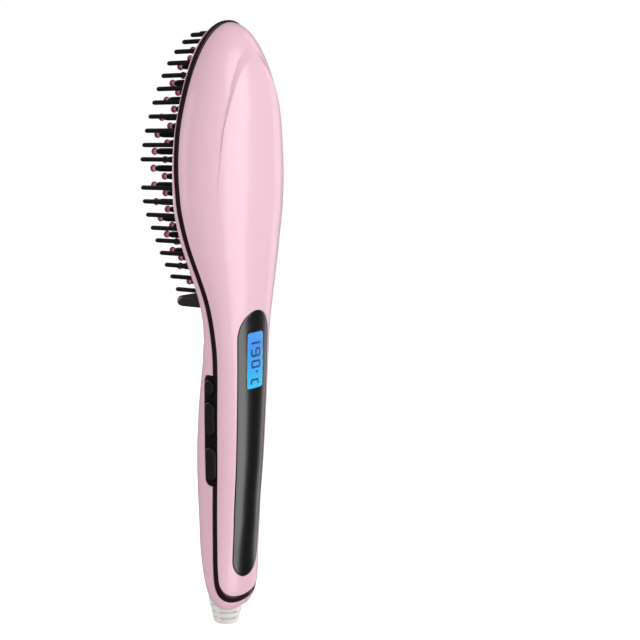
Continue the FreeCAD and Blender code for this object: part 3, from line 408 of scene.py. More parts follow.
def skinPiece(name, fields, material, wall, fillet=0.35, proud=0.0, lift=None, creases=()):
    # A moulded piece: its stretch of the body's surface, with rounded edges and a wall behind it.
    gap = parting["gap"]
    skin = Skin(fields, gap)
    for field in fields:
        skin.cut(field, gap, True)
    for field in fields:
        for share in skinGrid["filletSteps"]:
            skin.cut(field, gap + share * fillet, False)
    for field, level in creases:
        skin.cut(field, level, False)
    points = skin.points()
    normal = skinNormal(skin.at[:, 0], skin.at[:, 1])
    drop = np.zeros(len(points))
    for field in fields:
        near = np.clip(fillet - (field(points) - gap), 0.0, fillet)
        drop = np.maximum(drop, fillet - np.sqrt(fillet ** 2 - near ** 2))
    raised = proud + (lift(points) if lift else 0.0)
    outer = points + normal * (raised - drop)[:, None]
    inner = points + normal * (proud - wall)
    # The seam of the grid and its poles are welded by place.
    spots = np.round(outer * skinGrid["weldsPerMm"]).astype(np.int64)
    _, first, index = np.unique(spots, axis=0, return_index=True, return_inverse=True)
    outer, inner, index = outer[first], inner[first], index.ravel()
    faces = []
    for face in skin.faces:
        welded = [int(index[k]) for k in face]
        welded = [k for k, before in zip(welded, welded[-1:] + welded[:-1]) if k != before]
        if len(set(welded)) > 2:
            faces.append(welded)
    count = {}
    for face in faces:
        for a, b in zip(face, face[1:] + face[:1]):
            count[a, b] = count.get((a, b), 0) + 1
    rim = [(a, b) for a, b in count if (b, a) not in count]
    total = len(outer)
    solid = list(faces) + [[k + total for k in reversed(face)] for face in faces]
    solid += [[b, a, a + total, b + total] for a, b in rim]
    piece = makeMesh(name, np.concatenate([outer, inner]), solid, material)
    print(name, len(piece.data.polygons), "faces")
    return piece


# Finishes. Each one has its own colour drift, roughness drift and fine surface relief.
def colour(code):
    values = [int(code[k:k + 2], 16) / 255 for k in (1, 3, 5)]
    return tuple(v / 12.92 if v <= 0.04045 else ((v + 0.055) / 1.055) ** 2.4 for v in values) + (1.0,)


def addNode(tree, kind, **settings):
    node = tree.nodes.new(kind)
    for key, value in settings.items():
        if hasattr(node, key):
            setattr(node, key, value)
        else:
            node.inputs[key].default_value = value
    return node


def newFinish(name, base, rough, drift=0.04, driftScale=60.0, roughDrift=0.04, grain=0.05, grainScale=900.0,
              grainDepth=0.00004, metallic=0.0, coat=0.0, **sockets):
    material = bpy.data.materials.new(name)
    material.use_nodes = True
    tree = material.node_tree
    shader = tree.nodes["Principled BSDF"]
    shader.inputs["Metallic"].default_value = metallic
    shader.inputs["Coat Weight"].default_value = coat
    shader.inputs["Coat Roughness"].default_value = 0.03
    for socket, value in sockets.items():
        shader.inputs[socket.replace("_", " ")].default_value = value
    shader.inputs["Base Color"].default_value = colour(base)
    shader.inputs["Roughness"].default_value = rough
    if not drift:
        return material
    place = addNode(tree, "ShaderNodeTexCoord")
    cloud = addNode(tree, "ShaderNodeTexNoise", Scale=driftScale, Detail=3.0)
    tree.links.new(place.outputs["Object"], cloud.inputs["Vector"])
    tone = addNode(tree, "ShaderNodeMapRange")
    tone.inputs["To Min"].default_value = 1.0 - drift
    tone.inputs["To Max"].default_value = 1.0 + drift
    tree.links.new(cloud.outputs["Fac"], tone.inputs["Value"])
    tint = addNode(tree, "ShaderNodeVectorMath", operation="SCALE")
    tint.inputs[0].default_value = colour(base)[:3]
    tree.links.new(tone.outputs["Result"], tint.inputs["Scale"])
    tree.links.new(tint.outputs["Vector"], shader.inputs["Base Color"])
    gloss = addNode(tree, "ShaderNodeMapRange")
    gloss.inputs["To Min"].default_value = max(rough - roughDrift, 0.02)
    gloss.inputs["To Max"].default_value = rough + roughDrift
    tree.links.new(cloud.outputs["Fac"], gloss.inputs["Value"])
    tree.links.new(gloss.outputs["Result"], shader.inputs["Roughness"])
    fine = addNode(tree, "ShaderNodeTexNoise", Scale=grainScale, Detail=2.0)
    tree.links.new(place.outputs["Object"], fine.inputs["Vector"])
    bump = addNode(tree, "ShaderNodeBump", Strength=grain, Distance=grainDepth)
    tree.links.new(fine.outputs["Fac"], bump.inputs["Height"])
    tree.links.new(bump.outputs["Normal"], shader.inputs["Normal"])
    return material


pinkGloss = newFinish("pinkGloss", "#f6cad8", 0.34, drift=0.012, driftScale=18.0, roughDrift=0.02, grain=0.03,
                      grainScale=260.0, coat=0.45, Coat_Roughness=0.12)
blackGloss = newFinish("blackGloss", "#040405", 0.3, drift=0.1, roughDrift=0.02, grain=0.02, coat=1.0,
                       Coat_Roughness=0.22, Coat_IOR=1.6, Specular_IOR_Level=0.2)
trimBrown = newFinish("trimBrown", "#280d15", 0.3, drift=0.08, driftScale=120.0, coat=0.15, grain=0.12)
buttonRubber = newFinish("buttonRubber", "#211b19", 0.42, drift=0.06, driftScale=200.0, grain=0.25,
                         grainScale=2600.0)
padPlastic = newFinish("padPlastic", "#140b0b", 0.36, drift=0.06, driftScale=150.0, grain=0.2,
                       grainScale=2200.0)
framePlastic = newFinish("framePlastic", "#1d1817", 0.45, drift=0.07, driftScale=120.0, grain=0.35,
                         grainScale=2400.0)
guardPlastic = newFinish("guardPlastic", "#332a27", 0.36, drift=0.06, driftScale=140.0, grain=0.25,
                         grainScale=2000.0)
bristleNylon = newFinish("bristleNylon", "#1a1615", 0.3, drift=0.08, driftScale=160.0, grain=0.1)
tineCeramic = newFinish("tineCeramic", "#100c0c", 0.26, drift=0.1, driftScale=160.0, grain=0.1)
siliconeRed = newFinish("siliconeRed", "#b3154a", 0.2, drift=0.05, driftScale=220.0, grain=0.05,
                        Transmission_Weight=0.12, IOR=1.41, Subsurface_Weight=0.2, Subsurface_Scale=0.001)
reliefWhite = newFinish("reliefWhite", "#f6f4f2", 0.42, drift=0.02, driftScale=90.0, grain=0.25,
                        grainScale=1500.0)
steel = newFinish("steel", "#c4c6c9", 0.3, metallic=0.7, drift=0.05, grain=0.1)
aluminium = newFinish("aluminium", "#c4c6c8", 0.36, metallic=0.75, drift=0.05, grain=0.3, grainScale=1400.0)
ceramicWhite = newFinish("ceramicWhite", "#e6e2da", 0.5)
amberFilm = newFinish("amberFilm", "#b8741f", 0.3, coat=0.3)
boardGreen = newFinish("boardGreen", "#1f5a38", 0.35, coat=0.4, drift=0.1, driftScale=300.0)
chipBlack = newFinish("chipBlack", "#17181a", 0.5)
capacitorBlue = newFinish("capacitorBlue", "#2b4a9a", 0.4)
brass = newFinish("brass", "#c9a452", 0.25, metallic=1.0)
wireSleeve = newFinish("wireSleeve", "#dedad3", 0.5)
lightGuide = newFinish("lightGuide", "#d8ecff", 0.3)


def rampOn(tree, driver, stops, target):
    # Sends a value through a run of colours to a socket.
    ramp = addNode(tree, "ShaderNodeValToRGB")
    while len(ramp.color_ramp.elements) < len(stops):
        ramp.color_ramp.elements.new(0.5)
    for element, (position, code) in zip(ramp.color_ramp.elements, stops):
        element.position = position
        element.color = colour(code)
    tree.links.new(driver, ramp.inputs["Fac"])
    tree.links.new(ramp.outputs["Color"], target)


def paleTowardsRoot(material, stops):
    # Colour along a rod, by its "share" attribute: 0 at the end and 1 where the shape list stops.
    tree = material.node_tree
    share = addNode(tree, "ShaderNodeAttribute", attribute_name="share")
    rampOn(tree, share.outputs["Fac"], stops, tree.nodes["Principled BSDF"].inputs["Base Color"])


# The tips are crimson silicone. The pale pink stretch towards the root is a painted highlight where the bead
# meets the tine.
paleTowardsRoot(siliconeRed, [(0.0, "#a80f3f"), (0.52, "#bd1c50"), (0.66, "#e2779c"), (0.85, "#f2c0cf")])


displayLight = {"strength": 0.95, "sheen": 0.1,
                "stops": [(0.0, "#10d2ff"), (0.35, "#18b2fb"), (0.72, "#2c98f4"), (1.0, "#45a2ff")]}


def newDisplayBlue():
    # Back light that runs from a mid blue at the top to cyan at the bottom.
    material = newFinish("displayBlue", "#04142c", 0.5)
    tree = material.node_tree
    shader = tree.nodes["Principled BSDF"]
    low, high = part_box("lcd_glass")
    place = addNode(tree, "ShaderNodeTexCoord")
    split = addNode(tree, "ShaderNodeSeparateXYZ")
    tree.links.new(place.outputs["Object"], split.inputs["Vector"])
    height = addNode(tree, "ShaderNodeMapRange")
    height.inputs["From Min"].default_value = low.z
    height.inputs["From Max"].default_value = high.z
    tree.links.new(split.outputs["Z"], height.inputs["Value"])
    rampOn(tree, height.outputs["Result"], displayLight["stops"], shader.inputs["Emission Color"])
    shader.inputs["Emission Strength"].default_value = displayLight["strength"]
    shader.inputs["Specular IOR Level"].default_value = displayLight["sheen"]
    return material


displayBlue = newDisplayBlue()
digitNavy = newFinish("digitNavy", "#04307f", 0.6, drift=0.05, Specular_IOR_Level=displayLight["sheen"])
clearLens = newFinish("clearLens", "#ffffff", 0.02, drift=0.0, Transmission_Weight=1.0, IOR=1.3)
print("finishes made")

# The moulded skin of the brush.
halfTrim = 0.5 * parting["trim"]
skinWalls = {"shell": 2.2, "panel": 1.4, "lens": 0.5, "bezel": 2.2, "button": 2.6, "buttonProud": 0.8}
crease = 0.45


def register(piece, body, slot, *replaced):
    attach(piece, body)
    if replaced:
        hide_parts(*replaced)
    return piece


backShell = skinPiece(
    "backShell", [lambda p: behindSeam(p) - halfTrim, lambda p: -insidePanel(p)], pinkGloss,
    skinWalls["shell"], lift=islandLift,
    creases=[(outerIsland, 0.0), (innerIsland, 0.0), (outerIsland, -crease), (innerIsland, crease)])
register(backShell, "handset", "pink_shell", "back_shell")
frontShell = skinPiece(
    "frontShell", [lambda p: -behindSeam(p) - halfTrim, insideMouthRim, lambda p: -insidePad(p),
                   outsideOutlet, outsideScrewHoles], pinkGloss, skinWalls["shell"])
register(frontShell, "handset", "pink_shell", "front_shell")
trimBand = skinPiece(
    "trimBand", [lambda p: halfTrim - np.abs(behindSeam(p)), lambda p: -insidePad(p)], trimBrown,
    skinWalls["shell"], fillet=0.3, proud=-0.12)
register(trimBand, "handset", "trim_dark", "trim_band")
backPanel = skinPiece("backPanel", [behindSeam, insidePanel, lambda p: -insideDisplay(p)], blackGloss,
                      skinWalls["panel"], fillet=0.3, proud=-0.05)
register(backPanel, "handset", "gloss_black", "back_panel")
displayLens = skinPiece("displayLens", [behindSeam, insideDisplay], clearLens, skinWalls["lens"],
                        fillet=0.15, proud=-0.05)
register(displayLens, "handset", "clear_window", "display_window")
buttonBezel = skinPiece("buttonBezel", [insidePad, outsideButtons], padPlastic, skinWalls["bezel"],
                        fillet=0.3, proud=-0.05)
register(buttonBezel, "handset", "button_dark", "button_bezel")
for button in buttonPlaces:
    cap = skinPiece(button + "Cap", [lambda p, name=button: insideButton(p, name)], buttonRubber,
                    skinWalls["button"], fillet=0.75, proud=skinWalls["buttonProud"])
    register(cap, button, "button_dark", button)


# Straight things that grow out of the bristle side. A chain of edges holds each one, with its girth
# kept per point, and one tree turns the chains into solid rods.
def newTree(name, **sockets):
    tree = bpy.data.node_groups.new(name, "GeometryNodeTree")
    tree.interface.new_socket("Geometry", in_out="INPUT", socket_type="NodeSocketGeometry")
    for label, kind in sockets.items():
        tree.interface.new_socket(label, in_out="INPUT", socket_type="NodeSocket" + kind)
    tree.interface.new_socket("Geometry", in_out="OUTPUT", socket_type="NodeSocketGeometry")
    return tree, tree.nodes.new("NodeGroupInput"), tree.nodes.new("NodeGroupOutput")


def finishTree(tree, shape, given, result, smooth=True):
    # Every tree ends in real geometry with its finish on it.
    shade = addNode(tree, "GeometryNodeSetShadeSmooth")
    shade.inputs["Shade Smooth"].default_value = smooth
    real = addNode(tree, "GeometryNodeRealizeInstances")
    paint = addNode(tree, "GeometryNodeSetMaterial")
    tree.links.new(shape, shade.inputs[0])
    tree.links.new(shade.outputs[0], real.inputs[0])
    tree.links.new(real.outputs[0], paint.inputs["Geometry"])
    tree.links.new(given.outputs["Finish"], paint.inputs["Material"])
    tree.links.new(paint.outputs[0], result.inputs[0])


def newRodTree():
    tree, given, result = newTree("rods", Sides="Int", Finish="Material")
    chain = addNode(tree, "GeometryNodeMeshToCurve")
    ring = addNode(tree, "GeometryNodeCurvePrimitiveCircle", Radius=1.0)
    girth = addNode(tree, "GeometryNodeInputNamedAttribute", data_type="FLOAT", Name="girth")
    body = addNode(tree, "GeometryNodeCurveToMesh")
    body.inputs["Fill Caps"].default_value = True
    tree.links.new(given.outputs["Geometry"], chain.inputs["Mesh"])
    tree.links.new(given.outputs["Sides"], ring.inputs["Resolution"])
    tree.links.new(chain.outputs["Curve"], body.inputs["Curve"])
    tree.links.new(ring.outputs["Curve"], body.inputs["Profile Curve"])
    tree.links.new(girth.outputs["Attribute"], body.inputs["Scale"])
    finishTree(tree, body.outputs["Mesh"], given, result)
    return tree


def runTree(piece, tree, **values):
    # Sets the inputs by their identifiers, then keeps the result as a plain mesh.
    modifier = piece.modifiers.new("shape", "NODES")
    modifier.node_group = tree
    for item in tree.interface.items_tree:
        if item.in_out == "INPUT" and item.name in values:
            modifier[item.identifier] = values[item.name]
    seen = bpy.context.evaluated_depsgraph_get()
    mesh = bpy.data.meshes.new_from_object(piece.evaluated_get(seen), depsgraph=seen)
    piece.modifiers.remove(modifier)
    piece.data = mesh
    return piece


rodTree = newRodTree()


def rodPlaces(name):
    # Centre, root and end of each rod of a carried-over node, in millimetres.
    work = bmesh.new()
    work.from_mesh(nodes[name].data)
    bmesh.ops.remove_doubles(work, verts=work.verts, dist=1e-5)
    left = set(work.verts)
    places = []
    while left:
        group, edge = [], [left.pop()]
        while edge:
            vertex = edge.pop()
            group.append(vertex.co)
            for link in vertex.link_edges:
                other = link.other_vert(vertex)
                if other in left:
                    left.remove(other)
                    edge.append(other)
        spot = np.array(group) / mm
        low, high = spot.min(axis=0), spot.max(axis=0)
        places.append((0.5 * (low[0] + high[0]), 0.5 * (low[2] + high[2]), low[1], high[1]))
    work.free()
    return sorted(places, key=lambda place: (place[1], place[0]))


def growRods(name, source, shape, sides, material, slot):
    # shape lists (distance back from the end, radius), and the last radius runs on to the root.
    points, edges, girths, shares = [], [], [], []
    for x, z, root, end in rodPlaces(source):
        first = len(points)
        steps = [(end - back, radius) for back, radius in shape if end - back > root + 0.05]
        for y, radius in steps + [(root, shape[-1][1])]:
            points.append((x * mm, y * mm, z * mm))
            girths.append(radius * mm)
            shares.append(min((end - y) / shape[-1][0], 1.0))
        edges += [(k, k + 1) for k in range(first, len(points) - 1)]
    mesh = bpy.data.meshes.new(name)
    mesh.from_pydata(points, edges, [])
    mesh.attributes.new("girth", "FLOAT", "POINT").data.foreach_set("value", girths)
    mesh.attributes.new("share", "FLOAT", "POINT").data.foreach_set("value", shares)
    piece = bpy.data.objects.new(name, mesh)
    bpy.context.scene.collection.objects.link(piece)
    runTree(piece, rodTree, Sides=sides, Finish=material)
    print(name, len(edges), "stretches", len(piece.data.polygons), "faces")
    return register(piece, "handset", slot, source)


bristleShape = [(0.0, 0.14), (0.08, 0.46), (0.30, 0.76), (0.70, 0.95), (1.25, 1.02)]
tineShape = [(0.0, 0.15), (0.35, 0.48), (1.1, 0.84), (2.1, 1.14), (3.4, 1.42), (6.0, 1.45)]
tipShape = [(0.0, 0.12), (0.10, 0.66), (0.38, 1.20), (0.85, 1.56), (1.4, 1.66), (1.9, 1.56), (2.3, 1.34),
            (3.1, 1.16)]
growRods("guardBristles", "guard_bristles", bristleShape, 14, bristleNylon, "guard_plastic")
growRods("heatedTines", "heated_tines", tineShape, 12, tineCeramic, "tine_coating")
growRods("tineTips", "tine_tips", tipShape, 12, siliconeRed, "silicone_red")

# The lit display: its face just behind the lens, and dark segments on that face.
displayFace = {"depth": 0.62, "wall": 0.5, "stroke": 0.52, "lift": 0.05, "sink": 0.02, "gap": 0.02,
               "endLong": 0.4, "endWide": 0.5}


def backSurface(x, z, depth):
    # The y of the body's back surface at x and z, so far inside it.
    share = np.clip(np.abs(x) / widthAt(z), 0.0, 1.0) ** bodyShape["backPower"]
    return seamAt(z) - backAt(z) * (1.0 - share) ** (1.0 / bodyShape["backPower"]) + depth


def strokeSolid(start, end, points, faces):
    # One segment: a bar with tapered ends, from start to end in (x, z), that follows the face.
    start, end = np.array(start), np.array(end)
    length = math.dist(start, end)
    along = (end - start) / length
    side = np.array([-along[1], along[0]]) * displayFace["stroke"]
    inset = min(displayFace["endLong"] * displayFace["stroke"], 0.45 * length)
    between = [inset + (length - 2 * inset) * k / 3 for k in (1, 2)]
    stations = [0.0, inset] + between + [length - inset, length]
    levels = (displayFace["depth"] - displayFace["lift"], displayFace["depth"] + displayFace["sink"])
    first = len(points)
    for k, run in enumerate(stations):
        wide = displayFace["endWide"] if k in (0, len(stations) - 1) else 1.0
        for sign in (-1, 1):
            x, z = start + along * run + side * sign * wide
            for depth in levels:
                points.append((x, float(backSurface(x, z, depth)), z))
    for k in range(len(stations) - 1):
        a = first + 4 * k
        b = a + 4
        faces += [(a, b, b + 2, a + 2), (a + 1, a + 3, b + 3, b + 1), (a, a + 1, b + 1, b),
                  (a + 2, b + 2, b + 3, a + 3)]
    last = first + 4 * (len(stations) - 1)
    faces += [(first, first + 2, first + 3, first + 1), (last, last + 1, last + 3, last + 2)]


# The reading runs down the display with its tops towards +X. Each sign lists its lit segments.
segmentEnds = {  # (across the sign, up the sign), each from 0 to 1
    "a": ((0, 1), (1, 1)), "b": ((1, 1), (1, 0.5)), "c": ((1, 0.5), (1, 0)), "d": ((0, 0), (1, 0)),
    "e": ((0, 0.5), (0, 0)), "f": ((0, 1), (0, 0.5)), "g": ((0, 0.5), (1, 0.5)),
}
reading = [  # lit segments, top of the sign's place, its width, its foot and head along x
    ("bc", 59.05, 0.0, -3.1, 3.9), ("abcdfg", 56.35, 3.15, -2.75, 3.5), ("abcdef", 50.75, 2.75, -2.55, 3.6),
    ("adef", 42.25, 2.1, -2.9, 2.3),
]
degreeDot = {"x": 1.1, "z": 45.9, "radius": 0.78}


def makeReading():
    points, faces = [], []
    for lit, top, width, foot, head in reading:
        for name in lit:
            ends = []
            for across, up in segmentEnds[name]:
                ends.append(np.array([foot + (head - foot) * up, top - width * across]))
            middle = 0.5 * (ends[0] + ends[1])
            reach = 1.0 - displayFace["gap"] / math.dist(*ends)
            start, end = [middle + (tip - middle) * reach for tip in ends]
            strokeSolid(start, end, points, faces)
    x, z, half = degreeDot["x"], degreeDot["z"], degreeDot["radius"]
    strokeSolid((x - half, z), (x + half, z), points, faces)
    piece = makeMesh("displayReading", points, faces, digitNavy, 40.0)
    fixNormals(piece)
    return piece


def fixNormals(piece):
    work = bmesh.new()
    work.from_mesh(piece.data)
    bmesh.ops.recalc_face_normals(work, faces=work.faces)
    work.to_mesh(piece.data)
    work.free()


glowPlate = skinPiece("displayGlow", [behindSeam, insideDisplay], displayBlue,
                      displayFace["depth"] + displayFace["wall"], fillet=0.1, proud=-displayFace["depth"])
register(glowPlate, "handset", "lcd", "lcd_glass")
register(makeReading(), "handset", "lcd")


# Cross-head screws, placed by points whose size is the head's radius.
screwShape = {"sides": 20, "round": 0.86, "drop": 0.3, "headHigh": 0.75, "shank": 0.55,
              "crossLong": 0.58, "crossWide": 0.15, "crossDeep": 0.42, "crossDraft": 0.8}


def makeScrewHead():
    # A head of radius 1 that faces +Z, with a cross recess and the start of its shank.
    shape = screwShape
    work = bmesh.new()
    turns = [2 * math.pi * k / shape["sides"] for k in range(shape["sides"])]

    def circle(radius, height):
        return [work.verts.new((radius * math.cos(turn), radius * math.sin(turn), height)) for turn in turns]

    def bridge(low, high):
        for k in range(len(low)):
            work.faces.new((low[k], low[(k + 1) % len(low)], high[(k + 1) % len(low)], high[k]))

    top, edge = circle(shape["round"], 0.0), circle(1.0, -shape["drop"])
    under, neck = circle(1.0, -shape["headHigh"]), circle(shape["shank"], -shape["headHigh"])
    foot = circle(shape["shank"], -2.0 * shape["headHigh"])
    for low, high in ((edge, top), (under, edge), (neck, under), (foot, neck)):
        bridge(low, high)
    work.faces.new(list(reversed(foot)))
    a, b = shape["crossWide"], shape["crossLong"]
    outline = [(b, -a), (b, a), (a, a), (a, b), (-a, b), (-a, a), (-b, a), (-b, -a), (-a, -a), (-a, -b),
               (a, -b), (a, -a)]
    rim = [work.verts.new((x, y, 0.0)) for x, y in outline]
    draft = shape["crossDraft"]
    pit = [work.verts.new((draft * x, draft * y, -shape["crossDeep"])) for x, y in outline]
    bridge(pit, rim)
    work.faces.new(list(pit))
    rimEdges = [work.edges.get((rim[k], rim[(k + 1) % len(rim)])) for k in range(len(rim))]
    topEdges = [work.edges.get((top[k], top[(k + 1) % len(top)])) for k in range(len(top))]
    bmesh.ops.triangle_fill(work, use_beauty=True, edges=rimEdges + topEdges, normal=(0, 0, 1))
    bmesh.ops.recalc_face_normals(work, faces=work.faces)
    mesh = bpy.data.meshes.new("screwHead")
    work.to_mesh(mesh)
    work.free()
    return bpy.data.objects.new("screwHead", mesh)


def newScrewTree():
    tree, given, result = newTree("screws", Head="Object", Finish="Material")
    head = addNode(tree, "GeometryNodeObjectInfo")
    size = addNode(tree, "GeometryNodeInputNamedAttribute", data_type="FLOAT", Name="headRadius")
    turn = addNode(tree, "GeometryNodeInputNamedAttribute", data_type="FLOAT_VECTOR", Name="turn")
    place = addNode(tree, "GeometryNodeInstanceOnPoints")
    tree.links.new(given.outputs["Geometry"], place.inputs["Points"])
    tree.links.new(given.outputs["Head"], head.inputs["Object"])
    tree.links.new(head.outputs["Geometry"], place.inputs["Instance"])
    tree.links.new(size.outputs["Attribute"], place.inputs["Scale"])
    tree.links.new(turn.outputs["Attribute"], place.inputs["Rotation"])
    finishTree(tree, place.outputs["Instances"], given, result, smooth=False)
    return tree


screwTree, screwHead = newScrewTree(), makeScrewHead()


def setScrews(name, source, headRadius, twist):
    # Heads face +Y, each with its cross turned a little further than the last.
    points, turns = [], []
    for k, (x, z, root, end) in enumerate(rodPlaces(source)):
        points.append((x * mm, end * mm, z * mm))
        turns.append((math.radians(-90), twist * (k + 1), 0.0))
    mesh = bpy.data.meshes.new(name)
    mesh.from_pydata(points, [], [])
    radii = [headRadius * mm] * len(points)
    mesh.attributes.new("headRadius", "FLOAT", "POINT").data.foreach_set("value", radii)
    mesh.attributes.new("turn", "FLOAT_VECTOR", "POINT").data.foreach_set("vector", np.ravel(turns))
    piece = bpy.data.objects.new(name, mesh)
    bpy.context.scene.collection.objects.link(piece)
    runTree(piece, screwTree, Head=screwHead, Finish=steel)
    return register(piece, "handset", "screw_steel", source)


setScrews("frameScrews", "frame_screws", 1.55, 0.7)
setScrews("shellScrews", "shell_screws", 2.3, 1.1)


# Wells that lead from the front shell down to its screws.
wellShape = {"radius": 2.56, "wall": 0.8, "sides": 28, "floor": 0.5, "lip": 0.6, "shankHole": 0.9}


def frontSurface(x, z):
    # The y of the handle's front surface at x and z.
    power = float(frontPowerAt(z))
    share = min(abs(x) / float(widthAt(z)), 1.0) ** power
    return float(seamAt(z) + frontAt(z) * (1.0 - share) ** (1.0 / power))


def makeWells():
    points, faces = [], []
    sides = wellShape["sides"]
    for x, z, seat in screwPlaces:
        inner, outer = wellShape["radius"], wellShape["radius"] + wellShape["wall"]
        hole, under = wellShape["shankHole"], seat - wellShape["floor"]
        rings = [(outer, None), (inner, None), (inner, seat), (hole, seat), (hole, under), (outer, under)]
        first = len(points)
        for radius, level in rings:
            for k in range(sides):
                turn = 2 * math.pi * k / sides
                spot = (x + radius * math.cos(turn), z + radius * math.sin(turn))
                y = max(frontSurface(*spot) - wellShape["lip"], seat) if level is None else level
                points.append((spot[0], y, spot[1]))
        for ring in range(len(rings)):
            a, b = first + ring * sides, first + (ring + 1) % len(rings) * sides
            for k in range(sides):
                faces.append((a + k, b + k, b + (k + 1) % sides, a + (k + 1) % sides))
    piece = makeMesh("screwWells", points, faces, pinkGloss, 40.0)
    fixNormals(piece)
    return register(piece, "handset", "pink_shell")


makeWells()
print("bristle side, display and screws made")

# Finishes of the nodes that are kept as they are.
nodeFinishes = {
    "bristle_frame": framePlastic, "finger_guard": guardPlastic, "strain_relief": reliefWhite,
    "swivel_rotor": framePlastic, "swivel_housing": framePlastic, "slip_rings": brass,
    "contact_springs": brass, "heater_plate": aluminium, "heat_shield": aluminium,
    "thermal_fuse": aluminium, "heater_clamp": steel, "heater_screws": steel, "board_screws": steel,
    "ptc_heaters": ceramicWhite, "thermistor": ceramicWhite, "board_fuse": ceramicWhite,
    "heater_film": amberFilm, "control_board": boardGreen, "button_board": boardGreen,
    "tact_switches": chipBlack, "lcd_frame": chipBlack, "triac": chipBlack,
    "controller_chip": chipBlack, "smoothing_capacitor": chipBlack, "film_capacitor": capacitorBlue,
    "lcd_backlight": lightGuide, "heater_wires": wireSleeve, "supply_wires": wireSleeve,
}
for name, material in nodeFinishes.items():
    nodes[name].data.materials.clear()
    nodes[name].data.materials.append(material)
print("carried-over nodes finished")

# Camera, at a three-quarter view of the back from the button side.
cameraPlace = {"azimuth": -54.5, "elevation": 8.25, "distance": 565.8, "targetHeight": 67.0,
               "focalPixels": 1235.9, "axisX": 227.9, "axisY": 322.6, "frame": 640, "sensor": 36.0}
turnAngle, tiltAngle = math.radians(cameraPlace["azimuth"]), math.radians(cameraPlace["elevation"])
backward = Vector((math.sin(turnAngle) * math.cos(tiltAngle), -math.cos(turnAngle) * math.cos(tiltAngle),
                   math.sin(tiltAngle)))
cameraData = bpy.data.cameras.new("camera")
camera = bpy.data.objects.new("camera", cameraData)
bpy.context.scene.collection.objects.link(camera)
camera.location = Vector((0, 0, cameraPlace["targetHeight"] * mm)) + backward * cameraPlace["distance"] * mm
camera.rotation_euler = (math.radians(90) - tiltAngle, 0, turnAngle)
cameraData.sensor_width = cameraPlace["sensor"]
cameraData.lens = cameraPlace["sensor"] * cameraPlace["focalPixels"] / cameraPlace["frame"]
cameraData.shift_x = 0.5 - cameraPlace["axisX"] / cameraPlace["frame"]
cameraData.shift_y = cameraPlace["axisY"] / cameraPlace["frame"] - 0.5
cameraData.clip_start = 0.01
bpy.context.scene.camera = camera

# Soft studio light: four upright white panels round the brush, in a white room. Glossy surfaces see
# that room dim, so that the black panel stays black.
studio = {"roomSeen": 1.0, "roomGloss": 0.05, "roomLight": 0.58, "floorGap": 0.3, "floorSeen": 0.58,
          "floorSize": 4.0}
softBoxes = {
    # name: turn from the back towards +X in degrees, distance, height, width, tall, power
    "keyBox": (20.0, 0.95, 0.15, 0.60, 1.5, 7.6),
    "rightBox": (82.0, 0.95, 0.10, 0.30, 1.5, 1.1),
    "leftBox": (-96.0, 1.00, 0.25, 0.30, 1.1, 1.6),
    "frontBox": (170.0, 1.00, 0.40, 0.60, 0.9, 3.2),
}
for name, (turn, distance, height, width, tall, power) in softBoxes.items():
    lampData = bpy.data.lights.new(name, "AREA")
    lampData.shape = "RECTANGLE"
    lampData.size, lampData.size_y, lampData.energy = width, tall, power
    lamp = bpy.data.objects.new(name, lampData)
    bpy.context.scene.collection.objects.link(lamp)
    angle = math.radians(turn)
    place = Vector((distance * math.sin(angle), -distance * math.cos(angle), height))
    lamp.location = place
    lamp.rotation_euler = (Vector((0, 0, cameraPlace["targetHeight"] * mm)) - place).to_track_quat(
        "-Z", "Y").to_euler()


def strengthByRay(tree, lit, **seen):
    # One strength for diffuse light, and another for each kind of ray that is named.
    rays = addNode(tree, "ShaderNodeLightPath")
    strength = None
    for ray, value in seen.items():
        step = addNode(tree, "ShaderNodeMapRange")
        step.inputs["To Min"].default_value = lit
        step.inputs["To Max"].default_value = value
        tree.links.new(rays.outputs["Is " + ray + " Ray"], step.inputs["Value"])
        if strength:
            tree.links.new(strength, step.inputs["To Min"])
        strength = step.outputs["Result"]
    return strength


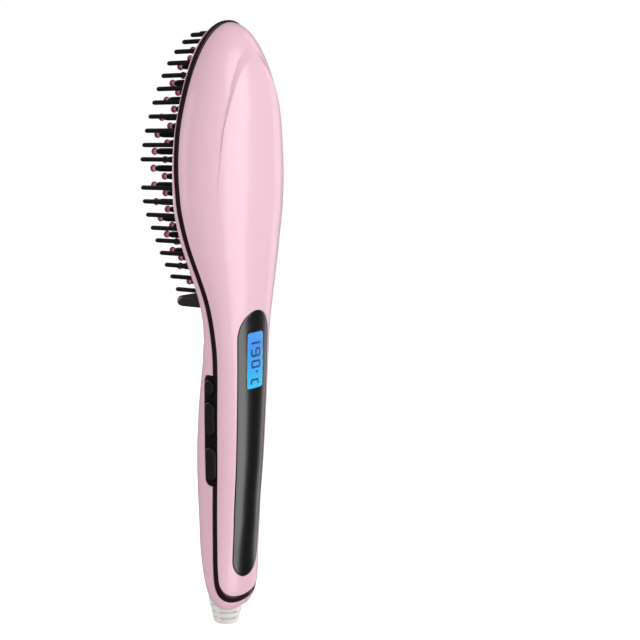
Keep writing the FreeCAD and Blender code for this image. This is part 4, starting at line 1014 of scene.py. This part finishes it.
world = bpy.data.worlds.new("whiteRoom")
bpy.context.scene.world = world
world.use_nodes = True
room = world.node_tree.nodes["Background"]
room.inputs["Color"].default_value = (1, 1, 1, 1)
world.node_tree.links.new(
    strengthByRay(world.node_tree, studio["roomLight"], Glossy=studio["roomGloss"],
                  Transmission=studio["roomSeen"], Camera=studio["roomSeen"]), room.inputs["Strength"])

floorHeight, floorSize = cadBox[0][2] - studio["floorGap"] * mm, studio["floorSize"]
floorMesh = bpy.data.meshes.new("floor")
floorMesh.from_pydata([(x, y, floorHeight) for x, y in ((-floorSize, -floorSize), (floorSize, -floorSize),
                                                       (floorSize, floorSize), (-floorSize, floorSize))],
                      [], [(0, 1, 2, 3)])
floor = bpy.data.objects.new("floor", floorMesh)
bpy.context.scene.collection.objects.link(floor)
floorWhite = newFinish("floorWhite", "#f4f4f4", 0.6, drift=0.004, driftScale=3.0, grain=0.0)
floorTree = floorWhite.node_tree
floorShader = floorTree.nodes["Principled BSDF"]
floorShader.inputs["Emission Color"].default_value = (1, 1, 1, 1)
floorTree.links.new(strengthByRay(floorTree, 0.0, Camera=studio["floorSeen"]),
                    floorShader.inputs["Emission Strength"])
# The floor is clear to glossy surfaces, which then show the lamps and the dim room, and from below.
floorDim = addNode(floorTree, "ShaderNodeMixShader")
floorClear = addNode(floorTree, "ShaderNodeBsdfTransparent")
floorRays = addNode(floorTree, "ShaderNodeLightPath")
floorSide = addNode(floorTree, "ShaderNodeNewGeometry")
floorOpen = addNode(floorTree, "ShaderNodeMath")
floorOpen.operation = "MAXIMUM"
floorTree.links.new(floorRays.outputs["Is Glossy Ray"], floorOpen.inputs[0])
floorTree.links.new(floorSide.outputs["Backfacing"], floorOpen.inputs[1])
floorTree.links.new(floorOpen.outputs["Value"], floorDim.inputs[0])
floorTree.links.new(floorShader.outputs[0], floorDim.inputs[1])
floorTree.links.new(floorClear.outputs[0], floorDim.inputs[2])
floorTree.links.new(floorDim.outputs[0], floorTree.nodes["Material Output"].inputs["Surface"])
floorMesh.materials.append(floorWhite)

bpy.context.scene.view_settings.view_transform = "Standard"
print("scene ready")
